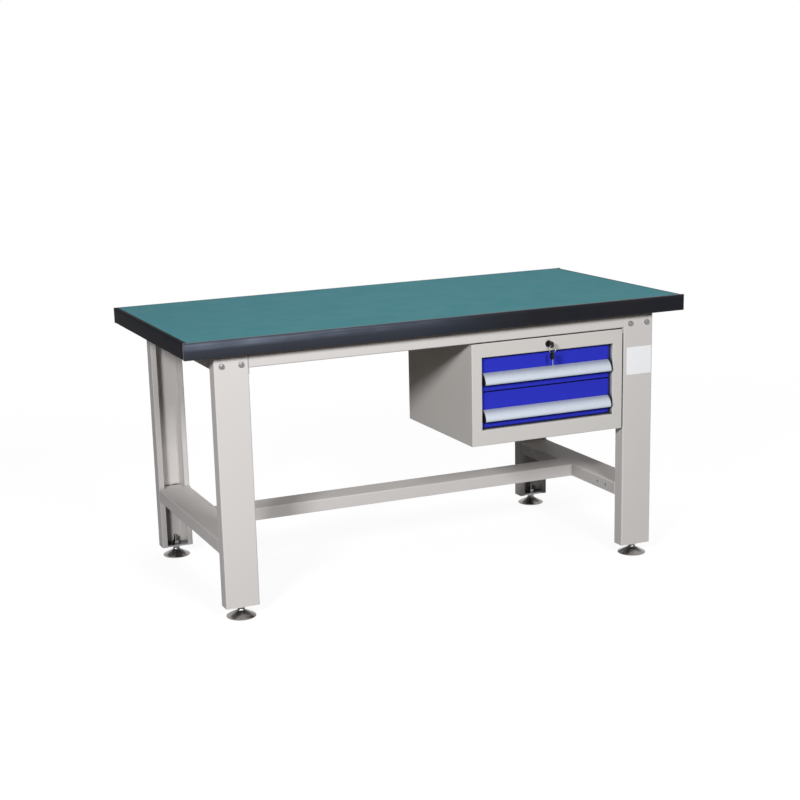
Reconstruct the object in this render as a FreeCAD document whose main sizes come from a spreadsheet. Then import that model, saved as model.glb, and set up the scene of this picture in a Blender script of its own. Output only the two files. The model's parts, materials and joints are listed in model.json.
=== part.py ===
"""Fitters workbench: steel frame, edged worktop and a hung two-drawer cabinet.

Millimetres. X runs along the bench to the right, Y to the rear, Z up. The origin is on the
floor, in the middle of the worktop's outline.
"""
import FreeCAD, Part
import math
import os
import re
import Sketcher

V = FreeCAD.Vector
LEFT, RIGHT = -1, 1
FRONT, REAR = -1, 1
CORNERS = [(side, face) for face in (FRONT, REAR) for side in (LEFT, RIGHT)]
SIDE_NAMES = {LEFT: "left", RIGHT: "right"}
FACE_NAMES = {FRONT: "front", REAR: "rear"}
HALF_TURN = FreeCAD.Rotation(V(0, 0, 1), 180)
NO_TURN = FreeCAD.Rotation()

# Driving dimensions: name, millimetres, what it measures
SIZES = (
    ("bench_length", 1500, "worktop, end to end"),
    ("bench_depth", 730, "worktop, front to rear"),
    ("bench_height", 770, "floor to worktop"),
    ("top_thickness", 45, "worktop with its laminate"),
    ("laminate_thickness", 1.5, "laminate on the worktop"),
    ("strip_width", 12, "edge strip, outer face to board"),
    ("strip_top_radius", 8, "edge strip, rounded upper edge"),
    ("strip_foot_radius", 3, "edge strip, rounded lower edge"),
    ("strip_corner_radius", 6, "worktop's upright corners"),
    ("tongue_thickness", 3, "edge strip's tongue in the board"),
    ("tongue_depth", 9, "reach of that tongue"),
    ("groove_clearance", 0.2, "room round the tongue"),
    ("end_overhang", 86, "worktop past the legs, at each end"),
    ("front_overhang", 32, "worktop past the legs, front and rear"),
    ("leg_width", 96, "leg section along the bench"),
    ("leg_depth", 42, "leg section front to rear"),
    ("leg_lip", 16, "lips that turn in on the leg's open side"),
    ("frame_sheet", 2, "sheet of legs, rails and aprons"),
    ("frame_bend", 1.5, "inner radius of the folds in that sheet"),
    ("foot_height", 31, "floor to the lower end of the legs"),
    ("top_rail_height", 40, "top end rails and aprons"),
    ("lower_rail_height", 36, "lower end rails and stretcher"),
    ("lower_rail_gap", 180, "floor to the lower end rails"),
    ("stretcher_width", 86, "lower stretcher, front to rear"),
    ("apron_depth", 30, "flanges of the aprons"),
    ("end_plate", 3, "plates that close aprons and stretcher"),
    ("tab_drop", 16, "apron end plate below the apron"),
    ("rail_tab_height", 42, "rail's folded tab inside the leg"),
    ("rail_tab_margin", 13, "that tab past its bolts, each side"),
    ("lip_clearance", 0.5, "rail tongue to the lips of the leg"),
    ("bolt_diameter", 8, "frame bolts"),
    ("bolt_clearance", 0.4, "radial room of bolts in their holes"),
    ("bolt_head_width", 13, "hexagon across flats"),
    ("bolt_head_height", 5, "hexagon head"),
    ("bolt_length", 16, "frame bolts under the head"),
    ("nut_height", 6.5, "frame nuts"),
    ("leg_bolt_spread", 54, "pair of bolts in the face of each leg"),
    ("leg_bolt_drop", 29, "worktop's underside to those bolts"),
    ("stretcher_bolt_pitch", 44, "pair of bolts at each stretcher end"),
    ("spare_pair_offset", 216, "bench's middle line to each spare pair of holes"),
    ("screw_diameter", 5, "worktop screws"),
    ("screw_head_diameter", 10, "pan head"),
    ("screw_head_height", 3, "pan head"),
    ("screw_bite", 25, "screw in the board"),
    ("rail_screw_offset", 200, "screws in the top end rails, from the middle"),
    ("apron_screw_offset", 350, "screws in the aprons, from the middle"),
    ("foot_disc_radius", 41, "levelling foot on the floor"),
    ("foot_rim", 3, "edge of that disc"),
    ("foot_shoulder_radius", 15, "upper end of the disc's cone"),
    ("foot_shoulder_height", 16, "floor to the upper end of that cone"),
    ("foot_neck_radius", 10, "top of the foot's bell"),
    ("foot_flare_radius", 10, "hollow curve between cone and neck"),
    ("stud_diameter", 12, "levelling stud"),
    ("stud_clearance", 0.1, "radial room of the stud in its plate and nuts"),
    ("stud_rise", 18, "stud above its welded nut"),
    ("stud_chamfer", 1.2, "end of the stud"),
    ("foot_plate", 5, "plate welded into the leg's end"),
    ("foot_plate_corner", 3, "rounded corners of that plate"),
    ("stud_nut_width", 19, "stud nuts across flats"),
    ("weld_nut_height", 10, "nut welded on the plate"),
    ("lock_nut_height", 8, "lock nut under the plate"),
    ("seat_clearance", 0.3, "bell to lock nut"),
    ("cabinet_width", 483, "drawer cabinet"),
    ("cabinet_depth", 425, "drawer cabinet"),
    ("cabinet_height", 291, "drawer cabinet"),
    ("cabinet_gap", 5, "cabinet to the right legs"),
    ("cabinet_drop", 2, "cabinet below the aprons"),
    ("cabinet_proud", 2, "cabinet face before the legs"),
    ("cabinet_sheet", 1.2, "cabinet panels"),
    ("cabinet_bend", 1, "inner radius of the panels' folds"),
    ("stile_width", 32, "upright borders of the face"),
    ("head_border", 40, "upper border of the face"),
    ("sill_border", 44, "lower border of the face"),
    ("reveal_depth", 22, "borders turned back into the opening"),
    ("hanger_flange", 30, "flanges of the hanging channels"),
    ("hanger_length", 330, "hanging channels, front to rear"),
    ("hanger_inset", 60, "hanging channels from the cabinet sides"),
    ("hanger_setback", 45, "hanging channels behind the cabinet face"),
    ("hanger_bolt_inset", 30, "fixings from the ends of the channels"),
    ("hanger_bolt_diameter", 6, "bolts through the cabinet top"),
    ("hanger_bolt_length", 8, "those bolts under the head"),
    ("drawer_gap", 3, "room round the drawer fronts"),
    ("front_recess", 14, "drawer fronts behind the cabinet face"),
    ("front_depth", 20, "drawer front pan"),
    ("front_sheet", 1, "sheet of the drawer fronts"),
    ("front_lip", 24, "pan's edges turned in at the rear"),
    ("front_edge_radius", 1.5, "rounded edges of the drawer fronts"),
    ("lower_front_height", 102, "lower drawer front"),
    ("tray_sheet", 1, "sheet of the drawer trays"),
    ("tray_height", 76, "drawer tray walls"),
    ("tray_lift", 7, "tray above the lower edge of its front"),
    ("tray_hem", 7, "side walls' upper edge turned in"),
    ("slide_rear_gap", 19, "slides to the rear of the cabinet"),
    ("slide_thickness", 12.7, "slide, upright to tray"),
    ("slide_height", 42, "fixed slide member"),
    ("slide_sheet", 1.3, "slide members"),
    ("slide_bend", 0.8, "inner radius of their folds"),
    ("slide_side_gap", 2, "slide's fixed face inside the opening's edge"),
    ("slide_setback", 2, "slides behind the drawer fronts"),
    ("slide_flange_gap", 2.5, "fixed member's flanges short of the tray"),
    ("ball_space", 4, "height of the ball tracks"),
    ("ball_clearance", 0.25, "balls to their tracks"),
    ("ball_pitch", 30, "balls along the cage"),
    ("balls_per_row", 3, "balls in each row"),
    ("cage_sheet", 0.6, "ball cage strip"),
    ("cage_bend", 0.3, "inner radius of the cage's folds"),
    ("cage_clearance", 0.4, "cage to the slide members"),
    ("cage_margin", 8, "cage past its end balls"),
    ("upright_width", 30, "slide uprights, front to rear"),
    ("upright_setback", 20, "uprights from the ends of the slides"),
    ("handle_rise", 53, "handle's top above the lower edge of the front"),
    ("handle_height", 32, "handle, top to lip"),
    ("handle_reach", 21, "handle before the drawer front"),
    ("handle_bow", 34, "radius of the handle's hood"),
    ("handle_wall", 2, "handle's hood"),
    ("handle_lip", 4, "lip below the hood's widest line"),
    ("handle_lip_return", 2, "lip's slope back to the drawer"),
    ("handle_web", 2, "handle's plate on the drawer front"),
    ("handle_web_height", 22, "that plate"),
    ("handle_crown", 4, "thickness where hood and plate meet"),
    ("handle_inset", 2, "handle short of the drawer front, each end"),
    ("handle_cap", 3, "end caps"),
    ("bezel_radius", 9.5, "lock's collar"),
    ("bezel_height", 2.5, "lock's collar before the face"),
    ("barrel_radius", 8, "lock's barrel"),
    ("barrel_length", 25, "lock's barrel behind the face"),
    ("barrel_clearance", 0.1, "barrel in its hole and nut"),
    ("barrel_nut_width", 22, "barrel's nut across flats"),
    ("barrel_nut_height", 4, "barrel's nut"),
    ("plug_radius", 5, "turning plug"),
    ("plug_clearance", 0.1, "plug in the barrel"),
    ("plug_proud", 0.5, "plug past each end of the barrel"),
    ("tail_radius", 3, "plug's tail"),
    ("cam_thickness", 2, "lock cam"),
    ("cam_width", 14, "lock cam"),
    ("cam_reach", 34, "plug's axis to the cam's tip"),
    ("cam_corner", 4, "rounded corners of the cam"),
    ("cam_clearance", 1.5, "cam in the drawer's slot"),
    ("cam_nut_width", 10, "nut on the tail, across flats"),
    ("cam_nut_height", 3, "nut on the tail"),
    ("key_standoff", 1, "key's bow before the lock's collar"),
    ("key_bow_length", 22, "bow along the key"),
    ("key_bow_width", 16, "bow across the key"),
    ("key_bow_thickness", 6, "bow"),
    ("key_bow_corner", 6, "rounded corners of the bow"),
    ("key_hole_radius", 2.6, "ring hole"),
    ("key_hole_inset", 4, "ring hole from the end of the bow"),
    ("key_tang", 9, "blade inside the bow"),
    ("blade_length", 22, "blade outside the bow"),
    ("blade_width", 6.5, "blade"),
    ("blade_thickness", 2, "blade"),
    ("blade_clearance", 0.1, "blade in bow and plug"),
    ("ring_radius", 10.5, "key ring, to the middle of the wire"),
    ("ring_wire_radius", 0.8, "key ring wire"),
    ("ring_clearance", 0.1, "ring in the bows' holes"),
)

# Places that follow from the driving dimensions: name, formula, what it is
LAYOUT = (
    ("half_length", "bench_length / 2", "middle to worktop end"),
    ("half_depth", "bench_depth / 2", "middle to worktop front"),
    ("underside", "bench_height - top_thickness", "level under the worktop"),
    ("board_top", "bench_height - laminate_thickness", "level under the laminate"),
    ("board_half_length", "half_length - strip_width", "board inside the end strips"),
    ("board_half_depth", "half_depth - strip_width", "board inside the long strips"),
    ("tongue_level", "underside + top_thickness / 2", "middle of the tongues"),
    ("leg_outer", "half_length - end_overhang", "outer side of the legs"),
    ("leg_inner", "leg_outer - leg_width", "inner side of the legs"),
    ("leg_centre", "leg_outer - leg_width / 2", "middle of the legs"),
    ("leg_face", "half_depth - front_overhang", "face of the legs"),
    ("lip_line", "leg_face - leg_depth", "open side of the legs"),
    ("foot_line", "leg_face - leg_depth / 2", "middle of the feet"),
    ("web_line", "leg_face - frame_sheet", "inside of a leg's face"),
    ("hole_radius", "bolt_diameter / 2 + bolt_clearance", "holes for frame bolts"),
    ("screw_hole_radius", "screw_diameter / 2 + bolt_clearance", "holes for screws"),
    ("leg_bolt_level", "underside - leg_bolt_drop", "bolts in the faces of the legs"),
    ("rail_bottom", "underside - top_rail_height", "lower edge of top rails"),
    ("apron_bolt_level", "underside - top_rail_height / 2", "bolts behind the aprons"),
    ("tab_bolt_level", "rail_bottom - tab_drop / 2", "bolts in the aprons' tabs"),
    ("apron_bolt_line", "leg_face - (frame_sheet + apron_depth) / 2", "bolts in end plates"),
    ("rail_tab_half", "leg_bolt_spread / 2 + rail_tab_margin", "half a rail tab"),
    ("lower_rail_top", "lower_rail_gap + lower_rail_height", "top of the lower rails"),
    ("lower_bolt_level", "lower_rail_gap + lower_rail_height / 2", "stretcher bolts"),
    ("stud_radius", "stud_diameter / 2", "levelling stud"),
    ("stud_hole_radius", "stud_radius + stud_clearance", "holes round the stud"),
    ("bell_top", "foot_height - lock_nut_height - seat_clearance", "top of a foot's bell"),
    ("stud_top", "foot_height + foot_plate + weld_nut_height + stud_rise", "end of a stud"),
    ("cabinet_right", "leg_inner - cabinet_gap", "right side"),
    ("cabinet_left", "cabinet_right - cabinet_width", "left side"),
    ("cabinet_centre", "cabinet_right - cabinet_width / 2", "middle"),
    ("cabinet_top_level", "rail_bottom - cabinet_drop", "top"),
    ("cabinet_floor", "cabinet_top_level - cabinet_height", "bottom"),
    ("cabinet_face", "-(leg_face + cabinet_proud)", "front"),
    ("cabinet_rear", "cabinet_face + cabinet_depth", "rear"),
    ("panel_left", "cabinet_left + cabinet_sheet", "inside of the left side"),
    ("panel_right", "cabinet_right - cabinet_sheet", "inside of the right side"),
    ("panel_top", "cabinet_top_level - cabinet_sheet", "inside of the top"),
    ("panel_floor", "cabinet_floor + cabinet_sheet", "inside of the bottom"),
    ("panel_front", "cabinet_face + cabinet_sheet + cabinet_bend", "start of top and bottom"),
    ("opening_left", "cabinet_left + stile_width", "opening"),
    ("opening_right", "cabinet_right - stile_width", "opening"),
    ("opening_top", "cabinet_top_level - head_border", "opening"),
    ("opening_floor", "cabinet_floor + sill_border", "opening"),
    ("reveal_line", "cabinet_face + reveal_depth", "end of the turned borders"),
    ("hanger_left", "cabinet_left + hanger_inset", "left channel"),
    ("hanger_right", "cabinet_right - hanger_inset - hanger_flange", "right channel"),
    ("hanger_front", "cabinet_face + hanger_setback", "channels' front end"),
    ("hanger_first", "hanger_front + hanger_bolt_inset", "front fixings"),
    ("hanger_last", "hanger_front + hanger_length - hanger_bolt_inset", "rear fixings"),
    ("hanger_hole_radius", "hanger_bolt_diameter / 2 + bolt_clearance", "fixing holes"),
    ("front_plane", "cabinet_face + front_recess", "face of the drawer fronts"),
    ("front_rear", "front_plane + front_depth", "rear of the drawer fronts"),
    ("front_left", "opening_left + drawer_gap", "drawer fronts"),
    ("front_right", "opening_right - drawer_gap", "drawer fronts"),
    ("lower_front_floor", "opening_floor + drawer_gap", "lower drawer front"),
    ("lower_front_top", "lower_front_floor + lower_front_height", "lower drawer front"),
    ("upper_front_floor", "lower_front_top + drawer_gap", "upper drawer front"),
    ("upper_front_top", "opening_top - drawer_gap", "upper drawer front"),
    ("slide_plane", "(opening_right - opening_left) / 2 - slide_side_gap", "uprights' face"),
    ("tray_half", "slide_plane - slide_thickness", "half the tray"),
    ("slide_front", "front_rear + slide_setback", "front ends of the slides"),
    ("slide_rear", "cabinet_rear - slide_rear_gap", "rear ends of slides and trays"),
    ("slide_length", "slide_rear - slide_front", "drawer slides"),
    ("slide_middle", "(slide_front + slide_rear) / 2", "middle of the slides"),
    ("slide_rise", "tray_lift + tray_height / 2", "slides above the fronts' lower edge"),
    ("inner_slide_height", "slide_height - 2 * (slide_sheet + ball_space)", "moving member"),
    ("ball_level", "(inner_slide_height + ball_space) / 2", "ball rows off the middle"),
    ("ball_radius", "ball_space / 2 - ball_clearance", "balls"),
    ("cage_web", "slide_sheet + cage_clearance", "cage off the uprights"),
    ("inner_slide_edge", "cage_web + cage_sheet + cage_clearance", "moving member's flanges"),
    ("outer_slide_edge", "slide_thickness - slide_flange_gap", "fixed member's flanges"),
    ("ball_line", "(inner_slide_edge + outer_slide_edge) / 2", "balls off the uprights"),
    ("cage_half", "(balls_per_row - 1) * ball_pitch / 2 + cage_margin", "half a cage"),
    ("upright_depth", "panel_right - cabinet_centre - slide_plane", "uprights' flanges"),
    ("upright_spread", "slide_length / 2 - upright_setback - upright_width / 2", "uprights"),
    ("handle_left", "front_left + handle_inset + handle_cap", "handle between its caps"),
    ("handle_right", "front_right - handle_inset - handle_cap", "handle between its caps"),
    ("lock_level", "opening_top + head_border / 2", "lock's axis"),
    ("bezel_plane", "cabinet_face - bezel_height", "front of the lock's collar"),
    ("barrel_end", "cabinet_face + barrel_length", "rear of the barrel"),
    ("cam_front", "barrel_end + plug_proud", "front of the cam"),
    ("cam_rear", "cam_front + cam_thickness", "rear of the cam"),
    ("key_shoulder", "bezel_plane - key_standoff", "key's bow and blade meet"),
    ("key_hole_line", "key_shoulder - key_bow_length + key_hole_inset", "ring hole"),
    ("ring_sag", "ring_radius - sqrt(ring_radius^2 - key_bow_thickness^2 / 4)", "across a bow"),
    ("ring_rest", "ring_wire_radius + ring_sag + ring_clearance - key_hole_radius", "in a hole"),
    ("ring_centre", "lock_level + ring_rest - ring_radius", "middle of the ring"),
    ("spare_hole_level", "ring_centre - ring_radius + ring_rest", "spare key's hole"),
    ("spare_shoulder", "spare_hole_level - key_bow_length + key_hole_inset", "spare key"),
)

doc = FreeCAD.newDocument("fitters_workbench")
sheet_of = {}


def full(formula):
    """The formula with the sheet's name before each of its names."""
    return re.sub(
        r"[a-z_]+", lambda word: f"{sheet_of[word[0]]}.{word[0]}" if word[0] in sheet_of else word[0], formula
    )


def fill(name, rows, lead):
    """A sheet with one row for each size: its note, its value and its alias."""
    sheet = doc.addObject("Spreadsheet::Sheet", name)
    for row, (alias, content, note) in enumerate(rows, 1):
        sheet.set(f"A{row}", note)
        sheet.set(f"B{row}", lead + full(str(content)))
        sheet.setAlias(f"B{row}", alias)
        sheet_of[alias] = name
    doc.recompute()
    return sheet


sizes = fill("sizes", SIZES, "")
layout = fill("layout", LAYOUT, "=")


def value(formula):
    """The formula's number at the present sizes."""
    return float(layout.evalExpression(full(formula)))


def bind(item, where, formula):
    item.setExpression(where, full(formula))


def place(item, x="0", y="0", z="0", turn=NO_TURN):
    item.Placement = FreeCAD.Placement(V(), turn)
    for axis, formula in zip("xyz", (x, y, z)):
        bind(item, f"Placement.Base.{axis}", formula)
    return item


def new_body(name):
    return doc.addObject("PartDesign::Body", name)


# Sketches: XY faces up, YZ faces right and XZ faces forward, against +Y
FACING = {"XY_Plane": 1, "YZ_Plane": 1, "XZ_Plane": -1}


def sketch_on(body, role, level):
    """An empty sketch on one of the body's own planes, moved to a level along that axis."""
    sketch = body.newObject("Sketcher::SketchObject", f"{body.Label}_sketch")
    plane = next(item for item in body.Origin.OriginFeatures if item.Role == role)
    sketch.AttachmentSupport = [(plane, "")]
    sketch.MapMode = "FlatFace"
    bind(sketch, "AttachmentOffset.Base.z", f"{FACING[role]} * ({level})")
    return sketch


def constrain(sketch, kind, where, formula):
    index = sketch.addConstraint(Sketcher.Constraint(kind, *where, value(formula)))
    bind(sketch, f"Constraints[{index}]", formula)


def arc_between(start, stop, radius, turn):
    """The shorter arc from start to stop; turn is 1 anticlockwise and -1 clockwise."""
    chord = stop - start
    rise = math.sqrt(radius**2 - chord.Length**2 / 4)
    centre = (start + stop) * 0.5 + V(-chord.y, chord.x, 0).normalize() * rise * turn
    first, last = (start, stop) if turn > 0 else (stop, start)
    angles = [math.atan2(point.y - centre.y, point.x - centre.x) for point in (first, last)]
    return Part.ArcOfCircle(Part.Circle(centre, V(0, 0, 1), radius), *angles)


def draw(sketch, corners):
    """Adds a closed outline of (x, y) corners; (x, y, radius, turn) starts an arc."""
    points = [V(value(corner[0]), value(corner[1]), 0) for corner in corners]
    ends = []
    for corner, start, stop in zip(corners, points, points[1:] + points[:1]):
        if len(corner) == 2:
            ends.append((sketch.addGeometry(Part.LineSegment(start, stop)), 1, 2))
        else:
            arc = sketch.addGeometry(arc_between(start, stop, value(corner[2]), corner[3]))
            ends.append((arc, 1, 2) if corner[3] > 0 else (arc, 2, 1))
    for (edge, _, stop), (after, start, _) in zip(ends, ends[1:] + ends[:1]):
        sketch.addConstraint(Sketcher.Constraint("Coincident", edge, stop, after, start))
    for corner, (edge, start, _) in zip(corners, ends):
        constrain(sketch, "DistanceX", (-1, 1, edge, start), corner[0])
        constrain(sketch, "DistanceY", (-1, 1, edge, start), corner[1])
        if len(corner) > 2:
            constrain(sketch, "Radius", (edge,), corner[2])


def outline(body, role, level, *shapes):
    sketch = sketch_on(body, role, level)
    for corners in shapes:
        draw(sketch, corners)
    return sketch


def circles(body, role, level, radius, centres):
    sketch = sketch_on(body, role, level)
    for x, y in centres:
        circle = Part.Circle(V(value(x), value(y), 0), V(0, 0, 1), value(radius))
        edge = sketch.addGeometry(circle)
        constrain(sketch, "DistanceX", (-1, 1, edge, 3), x)
        constrain(sketch, "DistanceY", (-1, 1, edge, 3), y)
        constrain(sketch, "Radius", (edge,), radius)
    return sketch


def facing(sketch):
    return FACING[sketch.AttachmentSupport[0][0].Role]


def pad(body, sketch, length, toward):
    """Adds metal from the sketch, toward + or - on the axis across it."""
    feature = body.newObject("PartDesign::Pad", f"{body.Label}_pad")
    feature.Profile = sketch
    bind(feature, "Length", length)
    feature.Reversed = toward != facing(sketch)
    doc.recompute()
    return feature


def cut(body, sketch, length, toward):
    """Takes metal away from the sketch, toward + or -, or 0 for both ways."""
    doc.recompute()
    before = body.Shape.Volume
    feature = body.newObject("PartDesign::Pocket", f"{body.Label}_cut")
    feature.Profile = sketch
    feature.SideType = "One side" if toward else "Symmetric"
    bind(feature, "Length", length)
    feature.Reversed = toward == facing(sketch)
    doc.recompute()
    if body.Shape.Volume > before - 1e-3:
        raise RuntimeError(f"{body.Label}: a cut takes nothing away")
    return feature


def round_edges(body, base, radius, chosen):
    """Rounds the edges of a feature whose middle passes the test."""
    feature = body.newObject("PartDesign::Fillet", f"{body.Label}_rounding")
    middles = [edge.CenterOfMass for edge in base.Shape.Edges]
    feature.Base = (base, [f"Edge{i}" for i, middle in enumerate(middles, 1) if chosen(middle)])
    bind(feature, "Radius", radius)
    doc.recompute()


def box(left, low, right, high):
    return [(left, low), (right, low), (right, high), (left, high)]


def rounded_box(left, low, right, high, radius):
    return [
        (f"{left} + {radius}", low),
        (f"{right} - {radius}", low, radius, 1),
        (right, f"{low} + {radius}"),
        (right, f"{high} - {radius}", radius, 1),
        (f"{right} - {radius}", high),
        (f"{left} + {radius}", high, radius, 1),
        (left, f"{high} - {radius}"),
        (left, f"{low} + {radius}", radius, 1),
    ]


def hexagon(x, y, width):
    """Hexagon round (x, y), two of its corners level with the middle."""
    steps = ((2, 0), (1, 1), (-1, 1), (-2, 0), (-1, -1), (1, -1))
    return [(f"{x} + {i} * {width} / sqrt(12)", f"{y} + {j} * {width} / 2") for i, j in steps]


def moved(formula, steps, amount):
    return f"{formula} + {steps:g} * ({amount})" if steps else formula


def folded(path, sheet, bend):
    """Outline of sheet folded square along a path: the path is one face, the sheet on its left."""
    points = [V(value(x), value(y), 0) for x, y in path]
    ways = [(stop - start).normalize() for start, stop in zip(points, points[1:])]
    near, far = [path[0]], []
    for (x, y), before, after in zip(path[1:-1], ways, ways[1:]):
        turn = 1 if before.x * after.y - before.y * after.x > 0 else -1
        outer, inner = f"{bend} + {sheet}", bend
        near_radius, far_radius = (outer, inner) if turn > 0 else (inner, outer)
        corner = (
            moved(x, round(-before.y - after.y), sheet),
            moved(y, round(before.x + after.x), sheet),
        )
        near.append((*step_along((x, y), before, -1, near_radius), near_radius, turn))
        near.append(step_along((x, y), after, 1, near_radius))
        far.append(step_along(corner, before, -1, far_radius))
        far.append((*step_along(corner, after, 1, far_radius), far_radius, -turn))
    near.append(path[-1])
    start, stop = [
        (moved(x, round(-way.y), sheet), moved(y, round(way.x), sheet))
        for (x, y), way in ((path[0], ways[0]), (path[-1], ways[-1]))
    ]
    return near + [stop] + far[::-1] + [start]


def step_along(point, way, sign, amount):
    return moved(point[0], sign * round(way.x), amount), moved(point[1], sign * round(way.y), amount)


def channel(left, low, right, high, opening):
    """Path of a U or C section, by its outer face, open to one side."""
    bottom_left, bottom_right = (left, low), (right, low)
    top_left, top_right = (left, high), (right, high)
    return {
        "down": [bottom_right, top_right, top_left, bottom_left],
        "right": [top_right, top_left, bottom_left, bottom_right],
        "left": [bottom_left, bottom_right, top_right, top_left],
    }[opening]


def fuse(name, first, second):
    item = doc.addObject("Part::Fuse", name)
    item.Base, item.Tool = first, second
    return item


def pierce(name, first, second):
    item = doc.addObject("Part::Cut", name)
    item.Base, item.Tool = first, second
    return item


def cylinder(name, radius, height, low="0"):
    item = doc.addObject("Part::Cylinder", name)
    bind(item, "Radius", radius)
    bind(item, "Height", height)
    return place(item, z=low)


def hex_prism(name, width, height, low="0"):
    item = doc.addObject("Part::Prism", name)
    item.Polygon = 6
    bind(item, "Circumradius", f"{width} / sqrt(3)")
    bind(item, "Height", height)
    return place(item, z=low)


def bolt(name, diameter, length):
    """Hexagon bolt: its shank runs up from the origin, its head below."""
    head = hex_prism(f"{name}_head", "bolt_head_width", "bolt_head_height", "-bolt_head_height")
    return fuse(name, head, cylinder(f"{name}_shank", f"{diameter} / 2", length))


def nut(name, width, height, hole):
    return pierce(name, hex_prism(f"{name}_hexagon", width, height), cylinder(f"{name}_hole", hole, height))


def group(name, members):
    item = doc.addObject("Part::Compound", name)
    item.Links = members
    return item


def facing_turn(x, y, z):
    return FreeCAD.Rotation(V(0, 0, 1), V(x, y, z))


# Worktop

def worktop_core():
    body = new_body("worktop_core")
    rectangle = box("-board_half_length", "-board_half_depth", "board_half_length", "board_half_depth")
    pad(body, outline(body, "XY_Plane", "underside", rectangle), "board_top - underside", 1)
    low = "tongue_level - tongue_thickness / 2 - groove_clearance"
    high = "tongue_level + tongue_thickness / 2 + groove_clearance"
    for role, edge in (("XZ_Plane", "board_half_length"), ("YZ_Plane", "board_half_depth")):
        inner = f"{edge} - tongue_depth - groove_clearance"
        grooves = box(inner, low, edge, high), box(f"-{edge}", low, f"-({inner})", high)
        cut(body, outline(body, role, "0", *grooves), "bench_length", 0)
    return body


def worktop_laminate():
    body = new_body("worktop_laminate")
    rectangle = box("-board_half_length", "-board_half_depth", "board_half_length", "board_half_depth")
    pad(body, outline(body, "XY_Plane", "board_top", rectangle), "laminate_thickness", 1)
    return body


def edge_strip(name, half, board_half, corners, x, y, turn):
    """Strip along X with its outer face at y = 0, its tongue short of the board's corners."""
    body = new_body(name)
    section = [
        ("strip_width", "underside"),
        ("strip_foot_radius", "underside", "strip_foot_radius", -1),
        ("0", "underside + strip_foot_radius"),
        ("0", "bench_height - strip_top_radius", "strip_top_radius", -1),
        ("strip_top_radius", "bench_height"),
        ("strip_width", "bench_height"),
    ]
    tongue = box(
        "strip_width",
        "tongue_level - tongue_thickness / 2",
        "strip_width + tongue_depth",
        "tongue_level + tongue_thickness / 2",
    )
    pad(body, outline(body, "YZ_Plane", f"-({half})", section), f"2 * ({half})", 1)
    reach = f"{board_half} - tongue_depth - groove_clearance"
    pad(body, outline(body, "YZ_Plane", f"-({reach})", tongue), f"2 * ({reach})", 1)
    for sign in corners:
        outside = [
            (f"{sign} * {half}", "0"),
            (f"{sign} * {half}", "strip_corner_radius", "strip_corner_radius", -sign),
            (f"{sign} * ({half} - strip_corner_radius)", "0"),
        ]
        cut(body, outline(body, "XY_Plane", "0", outside), "2 * bench_height", 0)
    return place(body, x, y, turn=turn)


def edge_strips():
    long_strip = ("half_length", "board_half_length", (LEFT, RIGHT))
    end_strip = ("board_half_depth", "board_half_depth", ())
    quarter = FreeCAD.Rotation(V(0, 0, 1), 90)
    return [
        edge_strip("front_edge_strip", *long_strip, "0", "-half_depth", NO_TURN),
        edge_strip("rear_edge_strip", *long_strip, "0", "half_depth", HALF_TURN),
        edge_strip("left_edge_strip", *end_strip, "-half_length", "0", quarter.inverted()),
        edge_strip("right_edge_strip", *end_strip, "half_length", "0", quarter),
    ]


# Frame

def leg(side, face):
    """Lipped channel with its face at y = 0, open to +Y; the rear legs are turned round."""
    body = new_body(f"{SIDE_NAMES[side]}_{FACE_NAMES[face]}_leg")
    left, right = "-leg_width / 2", "leg_width / 2"
    path = [
        (f"{left} + leg_lip", "leg_depth"),
        (left, "leg_depth"),
        (left, "0"),
        (right, "0"),
        (right, "leg_depth"),
        (f"{right} - leg_lip", "leg_depth"),
    ]
    section = folded(path, "frame_sheet", "frame_bend")
    pad(body, outline(body, "XY_Plane", "0", section), "underside - foot_height", 1)
    pair = [(f"{i} * leg_bolt_spread / 2", "leg_bolt_level - foot_height") for i in (-1, 1)]
    cut(body, circles(body, "XZ_Plane", "0", "hole_radius", pair), "frame_sheet", 1)
    inner = side * face
    levels = ("apron_bolt_level", "tab_bolt_level")
    pair = [("leg_face - apron_bolt_line", f"{level} - foot_height") for level in levels]
    holes = circles(body, "YZ_Plane", f"{inner} * leg_width / 2", "hole_radius", pair)
    cut(body, holes, "frame_sheet", -inner)
    turn = HALF_TURN if face == REAR else NO_TURN
    return place(body, f"{side} * leg_centre", f"{face} * leg_face", "foot_height", turn)


def top_rail(side):
    """End rail between the legs, its web running on between the lips to a bolted tab."""
    body = new_body(f"{SIDE_NAMES[side]}_top_rail")
    path = channel("-leg_width / 2", "rail_bottom", "leg_width / 2", "underside", "down")
    section = folded(path, "frame_sheet", "frame_bend")
    pad(body, outline(body, "XZ_Plane", "lip_line", section), "2 * lip_line", -1)
    tongue_half = "leg_width / 2 - leg_lip - lip_clearance"
    tongue = box(f"-({tongue_half})", "-web_line", tongue_half, "web_line")
    pad(body, outline(body, "XY_Plane", "underside - frame_sheet", tongue), "frame_sheet", 1)
    for face in (FRONT, REAR):
        tab = box("-rail_tab_half", "underside - rail_tab_height", "rail_tab_half", "underside")
        pad(body, outline(body, "XZ_Plane", f"{face} * web_line", tab), "frame_sheet", -face)
    pair = [(f"{i} * leg_bolt_spread / 2", "leg_bolt_level") for i in (-1, 1)]
    cut(body, circles(body, "XZ_Plane", "0", "hole_radius", pair), "bench_depth", 0)
    screws = [("0", f"{i} * rail_screw_offset") for i in (-1, 1)]
    cut(body, circles(body, "XY_Plane", "underside", "screw_hole_radius", screws), "frame_sheet", -1)
    return place(body, f"{side} * leg_centre")


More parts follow.
